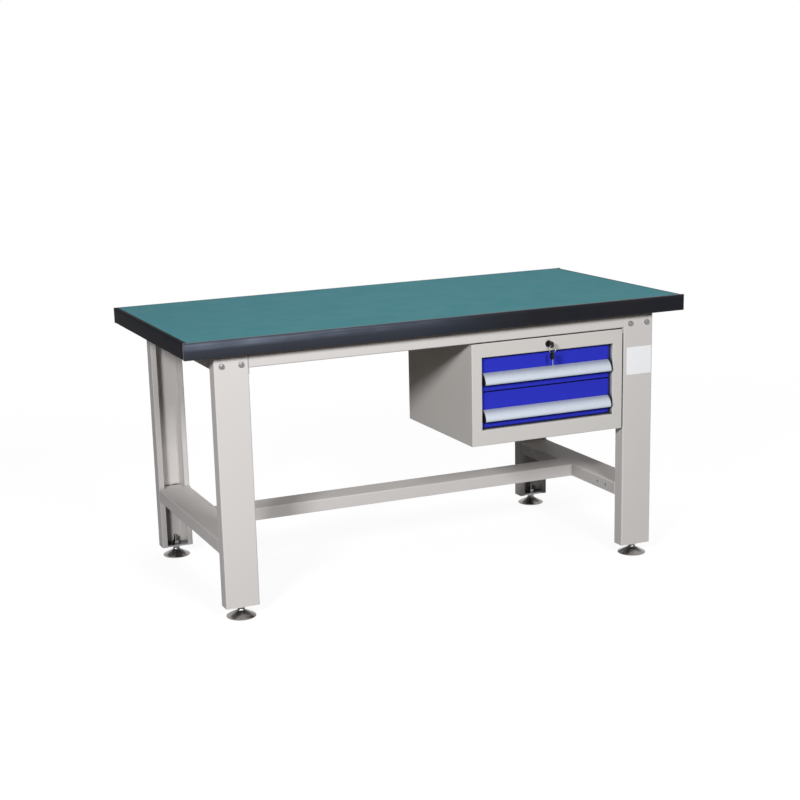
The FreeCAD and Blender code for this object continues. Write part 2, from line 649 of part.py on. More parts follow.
def lower_rail(side):
    """End rail welded to the lips, with the stretcher's holes and a spare pair each way."""
    body = new_body(f"{SIDE_NAMES[side]}_lower_rail")
    path = channel("-leg_width / 2", "lower_rail_gap", "leg_width / 2", "lower_rail_top", "down")
    section = folded(path, "frame_sheet", "frame_bend")
    pad(body, outline(body, "XZ_Plane", "lip_line", section), "2 * lip_line", -1)
    centres = [
        (f"{pair} * spare_pair_offset + {i} * stretcher_bolt_pitch / 2", "lower_bolt_level")
        for pair in (-1, 0, 1)
        for i in (-1, 1)
    ]
    holes = circles(body, "YZ_Plane", f"{-side} * leg_width / 2", "hole_radius", centres)
    cut(body, holes, "frame_sheet", side)
    return place(body, f"{side} * leg_centre")


def lower_stretcher():
    body = new_body("lower_stretcher")
    edges = "-stretcher_width / 2", "lower_rail_gap", "stretcher_width / 2", "lower_rail_top"
    section = folded(channel(*edges, "down"), "frame_sheet", "frame_bend")
    pad(body, outline(body, "YZ_Plane", "-leg_inner", section), "2 * leg_inner", 1)
    inside = "stretcher_width / 2 - frame_sheet"
    plate = box(f"-({inside})", "lower_rail_gap", inside, "lower_rail_top - frame_sheet")
    for side in (LEFT, RIGHT):
        pad(body, outline(body, "YZ_Plane", f"{side} * leg_inner", plate), "end_plate", -side)
    pair = [(f"{i} * stretcher_bolt_pitch / 2", "lower_bolt_level") for i in (-1, 1)]
    cut(body, circles(body, "YZ_Plane", "0", "hole_radius", pair), "bench_length", 0)
    return body


def apron(face):
    """Channel open to the bench's middle; its end plates hang below it and are tapped."""
    body = new_body(f"{FACE_NAMES[face]}_apron")
    path = channel("-leg_face", "rail_bottom", "apron_depth - leg_face", "underside", "right")
    section = folded(path, "frame_sheet", "frame_bend")
    pad(body, outline(body, "YZ_Plane", "-leg_inner", section), "2 * leg_inner", 1)
    plate = box("-web_line", "rail_bottom - tab_drop", "apron_depth - leg_face", "underside - frame_sheet")
    for side in (LEFT, RIGHT):
        pad(body, outline(body, "YZ_Plane", f"{side} * leg_inner", plate), "end_plate", -side)
    pair = [("-apron_bolt_line", level) for level in ("apron_bolt_level", "tab_bolt_level")]
    cut(body, circles(body, "YZ_Plane", "0", "hole_radius", pair), "bench_length", 0)
    screws = [(f"{i} * apron_screw_offset", "-apron_bolt_line") for i in (-1, 1)]
    cut(body, circles(body, "XY_Plane", "underside", "screw_hole_radius", screws), "frame_sheet", -1)
    return place(body, turn=HALF_TURN if face == REAR else NO_TURN)


def frame_bolts():
    """Pairs through the legs into the top rails, and through the stretcher's ends."""
    bolts, nuts = [], []
    for side, face in CORNERS:
        for i in (-1, 1):
            spot = f"{side} * leg_centre + {i} * leg_bolt_spread / 2"
            one = bolt("leg_bolt", "bolt_diameter", "bolt_length")
            bolts.append(place(one, spot, f"{face} * leg_face", "leg_bolt_level", facing_turn(0, -face, 0)))
            one = nut("leg_nut", "bolt_head_width", "nut_height", "hole_radius - bolt_clearance / 2")
            seat = f"{face} * (web_line - frame_sheet)"
            nuts.append(place(one, spot, seat, "leg_bolt_level", facing_turn(0, -face, 0)))
    for side in (LEFT, RIGHT):
        for i in (-1, 1):
            spot = f"{i} * stretcher_bolt_pitch / 2", "lower_bolt_level"
            one = bolt("stretcher_bolt", "bolt_diameter", "bolt_length")
            bolts.append(place(one, f"{side} * (leg_inner - end_plate)", *spot, facing_turn(side, 0, 0)))
            one = nut("stretcher_nut", "bolt_head_width", "nut_height", "hole_radius - bolt_clearance / 2")
            nuts.append(place(one, f"{side} * (leg_inner + frame_sheet)", *spot, facing_turn(side, 0, 0)))
    return [group("frame_bolts", bolts), group("frame_nuts", nuts)]


def apron_bolts():
    """From inside the legs into the aprons' end plates."""
    bolts = []
    for side, face in CORNERS:
        for level in ("apron_bolt_level", "tab_bolt_level"):
            one = bolt("apron_bolt", "bolt_diameter", "frame_sheet + end_plate")
            spot = f"{side} * (leg_inner + frame_sheet)", f"{face} * apron_bolt_line", level
            bolts.append(place(one, *spot, facing_turn(-side, 0, 0)))
    return group("apron_bolts", bolts)


def worktop_screws():
    """Up through rails, aprons and hanging channels into the board."""
    spots = [(f"{i} * leg_centre", f"{j} * rail_screw_offset") for i, j in CORNERS]
    spots += [(f"{i} * apron_screw_offset", f"{j} * apron_bolt_line") for i, j in CORNERS]
    spots += hanger_fixings()
    screws = []
    for x, y in spots:
        head = cylinder("screw_head", "screw_head_diameter / 2", "screw_head_height", "-screw_head_height")
        shank = cylinder("screw_shank", "screw_diameter / 2", "frame_sheet + screw_bite")
        screws.append(place(fuse("worktop_screw", head, shank), x, y, "underside - frame_sheet"))
    return group("worktop_screws", screws)


# Levelling feet

def foot_plates():
    """Plate with a welded nut in the lower end of each leg."""
    plates = []
    half_width, half_depth = "leg_width / 2 - frame_sheet", "leg_depth / 2 - frame_sheet"
    for side, face in CORNERS:
        body = new_body("foot_plate_piece")
        edges = f"-({half_width})", f"-({half_depth})", half_width, half_depth
        plate = rounded_box(*edges, "foot_plate_corner")
        pad(body, outline(body, "XY_Plane", "0", plate), "foot_plate", 1)
        welded = outline(body, "XY_Plane", "foot_plate", hexagon("0", "0", "stud_nut_width"))
        pad(body, welded, "weld_nut_height", 1)
        bore = circles(body, "XY_Plane", "0", "stud_hole_radius", [("0", "0")])
        cut(body, bore, "foot_plate + weld_nut_height", 1)
        plates.append(place(body, f"{side} * leg_centre", f"{face} * foot_line", "foot_height"))
    return group("foot_plates", plates)


def foot_lock_nuts():
    nuts = []
    for side, face in CORNERS:
        one = nut("foot_lock_nut", "stud_nut_width", "lock_nut_height", "stud_hole_radius")
        level = "foot_height - lock_nut_height"
        nuts.append(place(one, f"{side} * leg_centre", f"{face} * foot_line", level))
    return group("foot_lock_nuts", nuts)


def foot(side, face):
    """Bell-shaped disc with its stud, turned about the upright axis."""
    body = new_body(f"{SIDE_NAMES[side]}_{FACE_NAMES[face]}_foot")
    section = [
        ("0", "0"),
        ("foot_disc_radius", "0"),
        ("foot_disc_radius", "foot_rim"),
        ("foot_shoulder_radius", "foot_shoulder_height", "foot_flare_radius", -1),
        ("foot_neck_radius", "bell_top"),
        ("stud_radius", "bell_top"),
        ("stud_radius", "stud_top - stud_chamfer"),
        ("stud_radius - stud_chamfer", "stud_top"),
        ("0", "stud_top"),
    ]
    sketch = outline(body, "XZ_Plane", "0", section)
    turned = body.newObject("PartDesign::Revolution", "turned_foot")
    turned.Profile = sketch
    turned.ReferenceAxis = (sketch, ["V_Axis"])
    turned.Angle = 360
    return place(body, f"{side} * leg_centre", f"{face} * foot_line")


# Drawer cabinet

def cabinet_side(side):
    """Side panel folded round into its upright border, and beside the opening back into it."""
    body = new_body(f"cabinet_{SIDE_NAMES[side]}_side")
    outer = f"cabinet_{SIDE_NAMES[side]}"
    inner = f"opening_{SIDE_NAMES[side]}"
    border = [(outer, "cabinet_rear"), (outer, "cabinet_face"), (inner, "cabinet_face")]
    turned = border + [(inner, "reveal_line")]
    stages = (
        (border, "cabinet_floor", "sill_border"),
        (turned, "opening_floor", "opening_top - opening_floor"),
        (border, "opening_top", "head_border"),
    )
    for path, level, height in stages:
        section = folded(path if side == LEFT else path[::-1], "cabinet_sheet", "cabinet_bend")
        pad(body, outline(body, "XY_Plane", level, section), height, 1)
    return body


def cabinet_deck(name, level, edge, upward):
    """Top or bottom panel with its border, folded back into the opening, between the side borders."""
    body = new_body(name)
    panel = box("panel_left", "panel_front", "panel_right", "cabinet_rear")
    pad(body, outline(body, "XY_Plane", level, panel), "cabinet_sheet", upward)
    path = [("reveal_line", level), ("cabinet_face", level), ("cabinet_face", edge), ("reveal_line", edge)]
    section = folded(path if upward < 0 else path[::-1], "cabinet_sheet", "cabinet_bend")
    pad(body, outline(body, "YZ_Plane", "opening_left", section), "opening_right - opening_left", 1)
    return body


def cabinet_top():
    body = cabinet_deck("cabinet_top", "cabinet_top_level", "opening_top", -1)
    lock = [("cabinet_centre", "lock_level")]
    hole = circles(body, "XZ_Plane", "cabinet_face", "barrel_radius + barrel_clearance", lock)
    cut(body, hole, "cabinet_sheet", 1)
    holes = circles(body, "XY_Plane", "cabinet_top_level", "hanger_hole_radius", hanger_fixings())
    cut(body, holes, "cabinet_sheet", -1)
    return body


def cabinet_bottom():
    return cabinet_deck("cabinet_bottom", "cabinet_floor", "opening_floor", 1)


def cabinet_back():
    body = new_body("cabinet_back")
    panel = box("panel_left", "panel_floor", "panel_right", "panel_top")
    pad(body, outline(body, "XZ_Plane", "cabinet_rear", panel), "cabinet_sheet", -1)
    return body


def hanger_fixings():
    lines = [f"{start} + hanger_flange / 2" for start in ("hanger_left", "hanger_right")]
    return [(x, y) for x in lines for y in ("hanger_first", "hanger_last")]


def cabinet_hangers():
    """Channels that hang the cabinet from the worktop."""
    hangers = []
    for start in ("hanger_left", "hanger_right"):
        body = new_body("cabinet_hanger_piece")
        section = folded(
            channel("0", "cabinet_top_level", "hanger_flange", "underside", "right"),
            "frame_sheet",
            "frame_bend",
        )
        pad(body, outline(body, "XZ_Plane", "hanger_front", section), "hanger_length", 1)
        pair = [("hanger_flange / 2", y) for y in ("hanger_first", "hanger_last")]
        cut(body, circles(body, "XY_Plane", "0", "hanger_hole_radius", pair), "2 * bench_height", 0)
        hangers.append(place(body, start))
    return group("cabinet_hangers", hangers)


def hanger_bolts():
    bolts = []
    for x, y in hanger_fixings():
        one = bolt("hanger_bolt", "hanger_bolt_diameter", "hanger_bolt_length")
        bolts.append(place(one, x, y, "panel_top"))
    return group("hanger_bolts", bolts)


# Drawer slides, each modelled as the left one; the right one is turned round

def slide_spots(rise):
    for side in (LEFT, RIGHT):
        turn = HALF_TURN if side == RIGHT else NO_TURN
        yield (f"cabinet_centre + {side} * slide_plane", "slide_middle", rise, turn)


def slide_uprights():
    uprights = []
    for x, y, _, turn in slide_spots("0"):
        for end in (FRONT, REAR):
            body = new_body("slide_upright_piece")
            edges = "-upright_depth", "-upright_width / 2", "0", "upright_width / 2"
            section = folded(channel(*edges, "left"), "frame_sheet", "frame_bend")
            pad(body, outline(body, "XY_Plane", "panel_floor", section), "panel_top - panel_floor", 1)
            uprights.append(place(body, x, f"{y} + {end} * upright_spread", "0", turn))
    return group("slide_uprights", uprights)


def slide_members(name, rise, left, right, height, opening):
    members = []
    for spot in slide_spots(rise):
        body = new_body(f"{name}_piece")
        path = channel(left, f"-{height} / 2", right, f"{height} / 2", opening)
        section = folded(path, "slide_sheet", "slide_bend")
        pad(body, outline(body, "XZ_Plane", "-slide_length / 2", section), "slide_length", 1)
        members.append(place(body, *spot))
    return group(name, members)


def ball_cages(name, rise):
    """Folded strip that carries two rows of balls between the slide members."""
    cages = []
    for spot in slide_spots(rise):
        body = new_body(f"{name}_strip")
        half = "ball_level + cage_sheet / 2"
        path = channel("cage_web", f"-({half})", "outer_slide_edge", half, "right")
        section = folded(path, "cage_sheet", "cage_bend")
        pad(body, outline(body, "XZ_Plane", "-cage_half", section), "2 * cage_half", 1)
        balls = []
        for row in (-1, 1):
            for i in range(round(value("balls_per_row"))):
                ball = doc.addObject("Part::Sphere", f"{name}_ball")
                bind(ball, "Radius", "ball_radius")
                along = f"({i} - (balls_per_row - 1) / 2) * ball_pitch"
                balls.append(place(ball, "ball_line", along, f"{row} * ball_level"))
        cage = doc.addObject("Part::MultiFuse", f"{name}_piece")
        cage.Shapes = [body, *balls]
        cages.append(place(cage, *spot))
    return group(name, cages)


# Drawers

def drawer_tray(name, floor):
    body = new_body(f"{name}_drawer_tray")
    left, right = "cabinet_centre - tray_half", "cabinet_centre + tray_half"
    outside = box(left, "front_rear", right, "slide_rear")
    pad(body, outline(body, "XY_Plane", f"{floor} + tray_lift", outside), "tray_height", 1)
    top = f"{floor} + tray_lift + tray_height"
    mouth = box(
        f"{left} + tray_hem", "front_rear + tray_sheet", f"{right} - tray_hem", "slide_rear - tray_sheet"
    )
    cut(body, outline(body, "XY_Plane", top, mouth), "tray_height - tray_sheet", -1)
    inside = box(
        f"{left} + tray_sheet", "front_rear + tray_sheet", f"{right} - tray_sheet", "slide_rear - tray_sheet"
    )
    below = f"{top} - tray_sheet"
    cut(body, outline(body, "XY_Plane", below, inside), "tray_height - 2 * tray_sheet", -1)
    return body


def drawer_front(name, floor, top):
    """Pan with its edges turned in at the rear, where it is fixed to the tray."""
    body = new_body(f"{name}_drawer_front")
    face = box("front_left", floor, "front_right", top)
    block = pad(body, outline(body, "XZ_Plane", "front_plane", face), "front_depth", 1)
    plane = value("front_plane")
    round_edges(body, block, "front_edge_radius", lambda middle: abs(middle.y - plane) < 1e-6)

    def inset(amount):
        return box(
            f"front_left + {amount}", f"{floor} + {amount}", f"front_right - {amount}", f"{top} - {amount}"
        )

    window = outline(body, "XZ_Plane", "front_rear", inset("front_lip"))
    cut(body, window, "front_depth - front_sheet", -1)
    hollow = outline(body, "XZ_Plane", "front_rear - front_sheet", inset("front_sheet"))
    cut(body, hollow, "front_depth - 2 * front_sheet", -1)
    return body


def upper_drawer_front():
    """The upper front has a slot in its top for the lock's cam."""
    body = drawer_front("upper", "upper_front_floor", "upper_front_top")
    slot = box(
        "cabinet_centre - cam_width / 2 - cam_clearance",
        "cam_front - cam_clearance",
        "cabinet_centre + cam_reach",
        "cam_rear + cam_clearance",
    )
    cut(body, outline(body, "XY_Plane", "upper_front_top", slot), "front_sheet", -1)
    return body


def handle_outline(floor):
    """Outer line of the handle's end, from its top on the drawer front to the lip."""
    top = f"{floor} + handle_rise"
    widest = f"{top} - handle_height + handle_lip"
    return [
        ("front_plane", top, "handle_bow", 1),
        ("front_plane - handle_reach", widest),
        ("front_plane - handle_reach + handle_lip_return", f"{top} - handle_height"),
    ]


def handle(name, floor):
    """Extrusion with a bowed hood over the finger space and a plate on the drawer front."""
    body = new_body(f"{name}_handle")
    top = f"{floor} + handle_rise"
    widest = f"{top} - handle_height + handle_lip"
    inner = "front_plane - handle_reach + handle_wall"
    section = handle_outline(floor) + [
        (f"{inner} + handle_lip_return", f"{top} - handle_height"),
        (inner, widest, "handle_bow", -1),
        ("front_plane - handle_web", f"{top} - handle_crown"),
        ("front_plane - handle_web", f"{top} - handle_web_height"),
        ("front_plane", f"{top} - handle_web_height"),
    ]
    pad(body, outline(body, "YZ_Plane", "handle_left", section), "handle_right - handle_left", 1)
    return body


def handle_caps(name, floor):
    caps = []
    for level, toward in (("handle_left", LEFT), ("handle_right", RIGHT)):
        body = new_body(f"{name}_handle_cap")
        section = handle_outline(floor) + [("front_plane", f"{floor} + handle_rise - handle_height")]
        pad(body, outline(body, "YZ_Plane", level, section), "handle_cap", toward)
        caps.append(body)
    return group(f"{name}_handle_caps", caps)


def drawer(name, floor):
    """One drawer's tray, handle and slides; its front is made apart."""
    rise = f"{floor} + slide_rise"
    return [
        drawer_tray(name, floor),
        handle(name, floor),
        handle_caps(name, floor),
        slide_members(f"{name}_slide_outers", rise, "0", "outer_slide_edge", "slide_height", "right"),
        slide_members(
            f"{name}_slide_inners", rise, "inner_slide_edge", "slide_thickness", "inner_slide_height", "left"
        ),
        ball_cages(f"{name}_ball_cages", rise),
    ]


# Lock and keys

def lock_circle(body, level, radius):
    return circles(body, "XZ_Plane", level, radius, [("cabinet_centre", "lock_level")])


def lock_housing():
    body = new_body("lock_housing")
    pad(body, lock_circle(body, "bezel_plane", "bezel_radius"), "bezel_height", 1)
    pad(body, lock_circle(body, "cabinet_face", "barrel_radius"), "barrel_length", 1)
    bore = lock_circle(body, "bezel_plane", "plug_radius + plug_clearance")
    cut(body, bore, "bezel_height + barrel_length", 1)
    return body


def lock_nut():
    body = new_body("lock_nut")
    seat = "cabinet_face + cabinet_sheet"
    blank = hexagon("cabinet_centre", "lock_level", "barrel_nut_width")
    pad(body, outline(body, "XZ_Plane", seat, blank), "barrel_nut_height", 1)
    cut(body, lock_circle(body, seat, "barrel_radius + barrel_clearance"), "barrel_nut_height", 1)
    return body


def lock_plug():
    """Plug with the keyway in its front and a tail for the cam."""
    body = new_body("lock_plug")
    front = "bezel_plane - plug_proud"
    pad(body, lock_circle(body, front, "plug_radius"), f"cam_front - ({front})", 1)
    pad(body, lock_circle(body, "cam_front", "tail_radius"), "cam_thickness + cam_nut_height", 1)
    across, along = "(blade_thickness / 2 + blade_clearance)", "(blade_width / 2 + blade_clearance)"
    keyway = box(
        f"cabinet_centre - {across}",
        f"lock_level - {along}",
        f"cabinet_centre + {across}",
        f"lock_level + {along}",
    )
    depth = f"key_shoulder + blade_length + blade_clearance - ({front})"
    cut(body, outline(body, "XZ_Plane", front, keyway), depth, 1)
    return body


def lock_cam():
    """Cam that points along +X when the drawers are free."""
    body = new_body("lock_cam")
    plate = rounded_box(
        "cabinet_centre - cam_width / 2",
        "lock_level - cam_width / 2",
        "cabinet_centre + cam_reach",
        "lock_level + cam_width / 2",
        "cam_corner",
    )
    pad(body, outline(body, "XZ_Plane", "cam_front", plate), "cam_thickness", 1)
    cut(body, lock_circle(body, "cam_front", "tail_radius + plug_clearance"), "cam_thickness", 1)
    return body


def cam_nut():
    body = new_body("cam_nut")
    blank = hexagon("cabinet_centre", "lock_level", "cam_nut_width")
    pad(body, outline(body, "XZ_Plane", "cam_rear", blank), "cam_nut_height", 1)
    cut(body, lock_circle(body, "cam_rear", "tail_radius + plug_clearance"), "cam_nut_height", 1)
    return body


def key(name, x, y, z, turn):
    """Blade along +Y from the bow's shoulder at the origin, and the moulded bow behind it."""
    blade = new_body(f"{name}_blade")
    flat = box("-key_tang", "-blade_width / 2", "blade_length", "blade_width / 2")
    pad(blade, outline(blade, "YZ_Plane", "-blade_thickness / 2", flat), "blade_thickness", 1)
    bow = new_body(f"{name}_bow")
    edges = "-key_bow_length", "-key_bow_width / 2", "0", "key_bow_width / 2"
    shape = rounded_box(*edges, "key_bow_corner")
    pad(bow, outline(bow, "YZ_Plane", "-key_bow_thickness / 2", shape), "key_bow_thickness", 1)
    eye = [("key_hole_inset - key_bow_length", "0")]
    cut(bow, circles(bow, "YZ_Plane", "0", "key_hole_radius", eye), "2 * key_bow_thickness", 0)
    across, along = "blade_thickness / 2 + blade_clearance", "blade_width / 2 + blade_clearance"
    socket = box(f"-({across})", f"-({along})", across, along)
    cut(bow, outline(bow, "XZ_Plane", "0", socket), "key_tang", -1)
    return [place(blade, x, y, z, turn), place(bow, x, y, z, turn)]


def key_ring():
    ring = doc.addObject("Part::Torus", "key_ring")
    bind(ring, "Radius1", "ring_radius")
    bind(ring, "Radius2", "ring_wire_radius")
    return place(ring, "cabinet_centre", "key_hole_line", "ring_centre", facing_turn(0, 1, 0))


nodes = [
    worktop_core(),
    worktop_laminate(),
    *edge_strips(),
    *[leg(side, face) for side, face in CORNERS],
    *[top_rail(side) for side in (LEFT, RIGHT)],
    *[lower_rail(side) for side in (LEFT, RIGHT)],
    lower_stretcher(),
    *[apron(face) for face in (FRONT, REAR)],
    *frame_bolts(),
    apron_bolts(),
    worktop_screws(),
    foot_plates(),
    foot_lock_nuts(),
    *[foot(side, face) for side, face in CORNERS],
    *[cabinet_side(side) for side in (LEFT, RIGHT)],
    cabinet_top(),
    cabinet_bottom(),
    cabinet_back(),
    cabinet_hangers(),
    hanger_bolts(),
    slide_uprights(),
    upper_drawer_front(),
    drawer_front("lower", "lower_front_floor", "lower_front_top"),
    *drawer("upper", "upper_front_floor"),
    *drawer("lower", "lower_front_floor"),
    lock_housing(),
    lock_nut(),
    lock_plug(),
    lock_cam(),
    cam_nut(),
    *key("key", "cabinet_centre", "key_shoulder", "lock_level", NO_TURN),
    key_ring(),
    *key("spare_key", "cabinet_centre", "key_hole_line", "spare_shoulder", FreeCAD.Rotation(V(1, 0, 0), -90)),
]
doc.recompute()

failed = [item.Name for item in doc.Objects if {"Invalid", "Error"} & set(item.State)]
failed += [node.Label for node in nodes if node.Shape.isNull() or not node.Shape.isValid()]
if failed:
    raise RuntimeError(f"not built: {failed}")

os.makedirs("parts", exist_ok=True)
for node in nodes:
    node.Shape.exportStep(f"parts/{node.Label}.step")
print(len(nodes), "nodes,", sum(len(node.Shape.Solids) for node in nodes), "solids")
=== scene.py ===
import json
import math

import bmesh
import bpy
import numpy as np
from mathutils import Matrix, Vector


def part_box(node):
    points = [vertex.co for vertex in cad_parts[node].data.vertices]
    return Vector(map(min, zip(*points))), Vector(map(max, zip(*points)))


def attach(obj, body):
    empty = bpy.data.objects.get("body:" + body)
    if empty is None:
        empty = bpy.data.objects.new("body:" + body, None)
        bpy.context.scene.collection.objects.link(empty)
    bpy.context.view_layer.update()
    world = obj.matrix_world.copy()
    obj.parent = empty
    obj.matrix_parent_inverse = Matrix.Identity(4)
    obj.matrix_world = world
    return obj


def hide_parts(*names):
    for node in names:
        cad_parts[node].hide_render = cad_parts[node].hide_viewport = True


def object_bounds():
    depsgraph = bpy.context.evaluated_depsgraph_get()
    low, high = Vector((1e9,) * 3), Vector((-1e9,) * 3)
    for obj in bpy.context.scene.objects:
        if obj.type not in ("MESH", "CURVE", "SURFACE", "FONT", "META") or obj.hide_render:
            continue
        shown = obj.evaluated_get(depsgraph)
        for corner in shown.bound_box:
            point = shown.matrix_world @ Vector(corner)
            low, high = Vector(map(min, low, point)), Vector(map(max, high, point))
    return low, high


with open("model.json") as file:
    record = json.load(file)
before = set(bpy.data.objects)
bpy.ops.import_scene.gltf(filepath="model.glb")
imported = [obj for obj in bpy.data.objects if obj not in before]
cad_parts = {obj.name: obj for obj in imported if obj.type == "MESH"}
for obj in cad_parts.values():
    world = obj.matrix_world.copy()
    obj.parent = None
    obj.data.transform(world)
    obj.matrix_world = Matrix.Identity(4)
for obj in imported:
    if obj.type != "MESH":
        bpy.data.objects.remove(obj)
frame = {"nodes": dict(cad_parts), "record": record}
CAD_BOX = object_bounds()
NODES = frame["nodes"]

bl_info = {
    "name": "Fitters workbench finish",
    "version": (1, 1, 0),
    "blender": (4, 5, 0),
    "location": "View3D > Sidebar > Workbench",
    "description": "Finishes, welds, fixings and studio for the fitters workbench",
    "category": "Object",
}

SIDES = ("left", "right")
FACES = ("front", "rear")
CORNERS = [f"{side}_{face}" for face in FACES for side in SIDES]
DRAWERS = ("upper", "lower")
MILLIMETRE = 0.001


# User settings

def tint(name, about, red, green, blue):
    """Colour setting, given as the 0 to 255 screen colour and kept as linear light."""
    screen = np.array((red, green, blue)) / 255
    linear = np.where(screen > 0.04045, ((screen + 0.055) / 1.055) ** 2.4, screen / 12.92)
    return bpy.props.FloatVectorProperty(
        name=name, description=about, subtype="COLOR", size=4, min=0, max=1, default=(*linear, 1)
    )


def length(name, about, default):
    """Size setting in metres."""
    return bpy.props.FloatProperty(
        name=name, description=about, default=default, min=0, unit="LENGTH", subtype="DISTANCE", precision=5
    )


def angle(name, degrees):
    """Angle setting of a lamp, given in degrees."""
    about = "Azimuth from the front towards the right, or elevation above the bench's middle"
    return bpy.props.FloatProperty(
        name=name, description=about, default=math.radians(degrees), unit="ROTATION", subtype="ANGLE"
    )


def amount(name, about, default):
    """Plain number that isn't below 0."""
    return bpy.props.FloatProperty(name=name, description=about, default=default, min=0)


class BenchFinishes(bpy.types.PropertyGroup):
    """Colours of the bench's surfaces."""

    laminate: tint("Laminate", "Worktop surface", 74, 130, 138)
    board: tint("Board", "Raw underside of the worktop", 150, 122, 88)
    edging: tint("Edge strip", "Black strip round the worktop", 20, 22, 29)
    # Colour of a painted sheen on the front strip
    painted_sheen: tint("Edge strip painted sheen", "Painted sheen on the front strip", 128, 138, 158)
    frame_paint: tint("Frame paint", "Powder coat of legs and rails", 216, 212, 210)
    cabinet_paint: tint("Cabinet paint", "Powder coat of the cabinet", 214, 211, 207)
    drawer_paint: tint("Drawer paint", "Powder coat of the drawer fronts", 48, 55, 192)
    handle_metal: tint("Handle metal", "Anodised aluminium", 181, 187, 196)
    foot_metal: tint("Foot metal", "Plating of the levelling feet", 150, 146, 144)
    lock_metal: tint("Lock metal", "Dark plating of the lock", 84, 80, 78)
    bright_metal: tint("Bright metal", "Key ring and key blades", 190, 190, 188)
    zinc: tint("Zinc", "Plated slides", 176, 177, 178)
    fixing: tint("Fixings", "Dull plating of bolts, nuts and screws", 138, 138, 140)
    plastic: tint("Plastic", "Handle caps and key bows", 22, 22, 24)
    plate: tint("Plate", "Blank plate on the leg", 252, 253, 255)
    weld: tint("Weld", "Painted weld beads", 205, 201, 198)
    dark_weld: tint("Dark weld", "Dark beads inside the legs", 84, 80, 78)


class BenchTrim(bpy.types.PropertyGroup):
    """Sizes of the pieces added to the solids."""

    plate_width: length("Plate width", "Blank plate across the leg", 0.082)
    plate_height: length("Plate height", "Blank plate up the leg", 0.0805)
    plate_level: length("Plate level", "Floor to the middle of the plate", 0.586)
    plate_inset: length("Plate inset", "Leg's outer edge to the plate", 0.0035)
    plate_thickness: length("Plate thickness", "Blank plate", 0.0008)
    plate_corner: length("Plate corner", "Rounded corners of the plate", 0.002)
    weld_radius: length("Weld radius", "Beads between rails and legs", 0.0024)
    weld_ripple: length("Weld ripple", "Distance between two ripples of a bead", 0.0032)
    bolt_width: length("Bolt width", "Hexagon heads across flats", 0.013)
    bolt_head: length("Bolt head", "Height of a hexagon head", 0.005)
    bolt_diameter: length("Bolt diameter", "Frame bolts", 0.008)
    bolt_length: length("Bolt length", "Frame bolts under the head", 0.016)
    leg_bolt_spread: length("Leg bolt spread", "Pair of bolts in the face of each leg", 0.054)
    leg_bolt_drop: length("Leg bolt drop", "Top of the legs to those bolts", 0.029)
    stretcher_bolt_pitch: length("Stretcher bolt pitch", "Pair of bolts at each end", 0.044)
    stretcher_plate: length("Stretcher plate", "Plates that close the stretcher", 0.003)
    frame_sheet: length("Frame sheet", "Sheet of legs and rails", 0.002)
    spare_nut_width: length("Spare nut width", "Nuts behind the spare holes, across flats", 0.013)
    spare_nut_height: length("Spare nut height", "Nuts behind the spare holes", 0.0065)
    spare_nut_bore: length("Spare nut bore", "Bore of those nuts", 0.0068)
    nut_width: length("Nut width", "Lock nuts of the feet, across flats", 0.019)
    stud_diameter: length("Stud diameter", "Levelling studs", 0.012)
    thread_pitch: length("Thread pitch", "Levelling studs", 0.00175)
    thread_depth: length("Thread depth", "Levelling studs", 0.0009)
    ring_wire: length("Ring wire", "Thickness of the key ring's wire", 0.001)


class BenchStage(bpy.types.PropertyGroup):
    """Studio round the bench."""

    key_power: amount("Key power", "Soft box from the front left, in watts", 126)
    key_azimuth: angle("Key azimuth", -43)
    key_elevation: angle("Key elevation", 24)
    front_power: amount("Front power", "Soft box before the bench, in watts", 109)
    front_azimuth: angle("Front azimuth", 0)
    front_elevation: angle("Front elevation", 25)
    top_power: amount("Top power", "Soft box over the worktop, in watts", 28)
    top_azimuth: angle("Top azimuth", 130)
    top_elevation: angle("Top elevation", 78)
    back_power: amount("Back power", "Soft box from the rear, in watts", 110)
    back_azimuth: angle("Back azimuth", 165)
    back_elevation: angle("Back elevation", 4)
    side_power: amount("Side power", "Soft box from the right, in watts", 50)
    side_azimuth: angle("Side azimuth", 100)
    side_elevation: angle("Side elevation", 2)
    sky_level: amount("Sky level", "Soft light from all round", 0.035)
    floor_shade: amount("Floor shade", "Share of the floor's white that takes shadow", 0.15)
    floor_level: amount("Floor level", "How brightly the lamps light the floor", 0.6)


# Shader building

MIX_FACTOR, MIX_FIRST, MIX_SECOND, MIX_COLOUR = 0, 6, 7, 2


def add(tree, kind, inputs=None, **settings):
    """New node; an input's value is a number, a colour or another node's socket."""
    made = tree.nodes.new(kind)
    for key, value in settings.items():
        setattr(made, key, value)
    for key, value in (inputs or {}).items():
        if isinstance(value, bpy.types.NodeSocket):
            tree.links.new(value, made.inputs[key])
        else:
            made.inputs[key].default_value = value
    return made


def calc(tree, operation, *values):
    """Result of a Math node."""
    return add(tree, "ShaderNodeMath", dict(enumerate(values)), operation=operation).outputs[0]


def blend(tree, factor, first, second):
    """Colour between two colours."""
    inputs = {MIX_FACTOR: factor, MIX_FIRST: first, MIX_SECOND: second}
    return add(tree, "ShaderNodeMix", inputs, data_type="RGBA").outputs[MIX_COLOUR]


def ramp(tree, value, low, high, start=0.0, stop=1.0):
    """Value stretched from low..high to start..stop and held at both ends."""
    spans = {"From Min": low, "From Max": high, "To Min": start, "To Max": stop}
    return add(tree, "ShaderNodeMapRange", {"Value": value, **spans}).outputs[0]


def object_place(tree, stretch=None):
    """The point on the piece in metres, stretched along its axes where asked."""
    place = add(tree, "ShaderNodeTexCoord").outputs["Object"]
    if stretch is None:
        return place
    return add(tree, "ShaderNodeMapping", {"Vector": place, "Scale": stretch}).outputs[0]


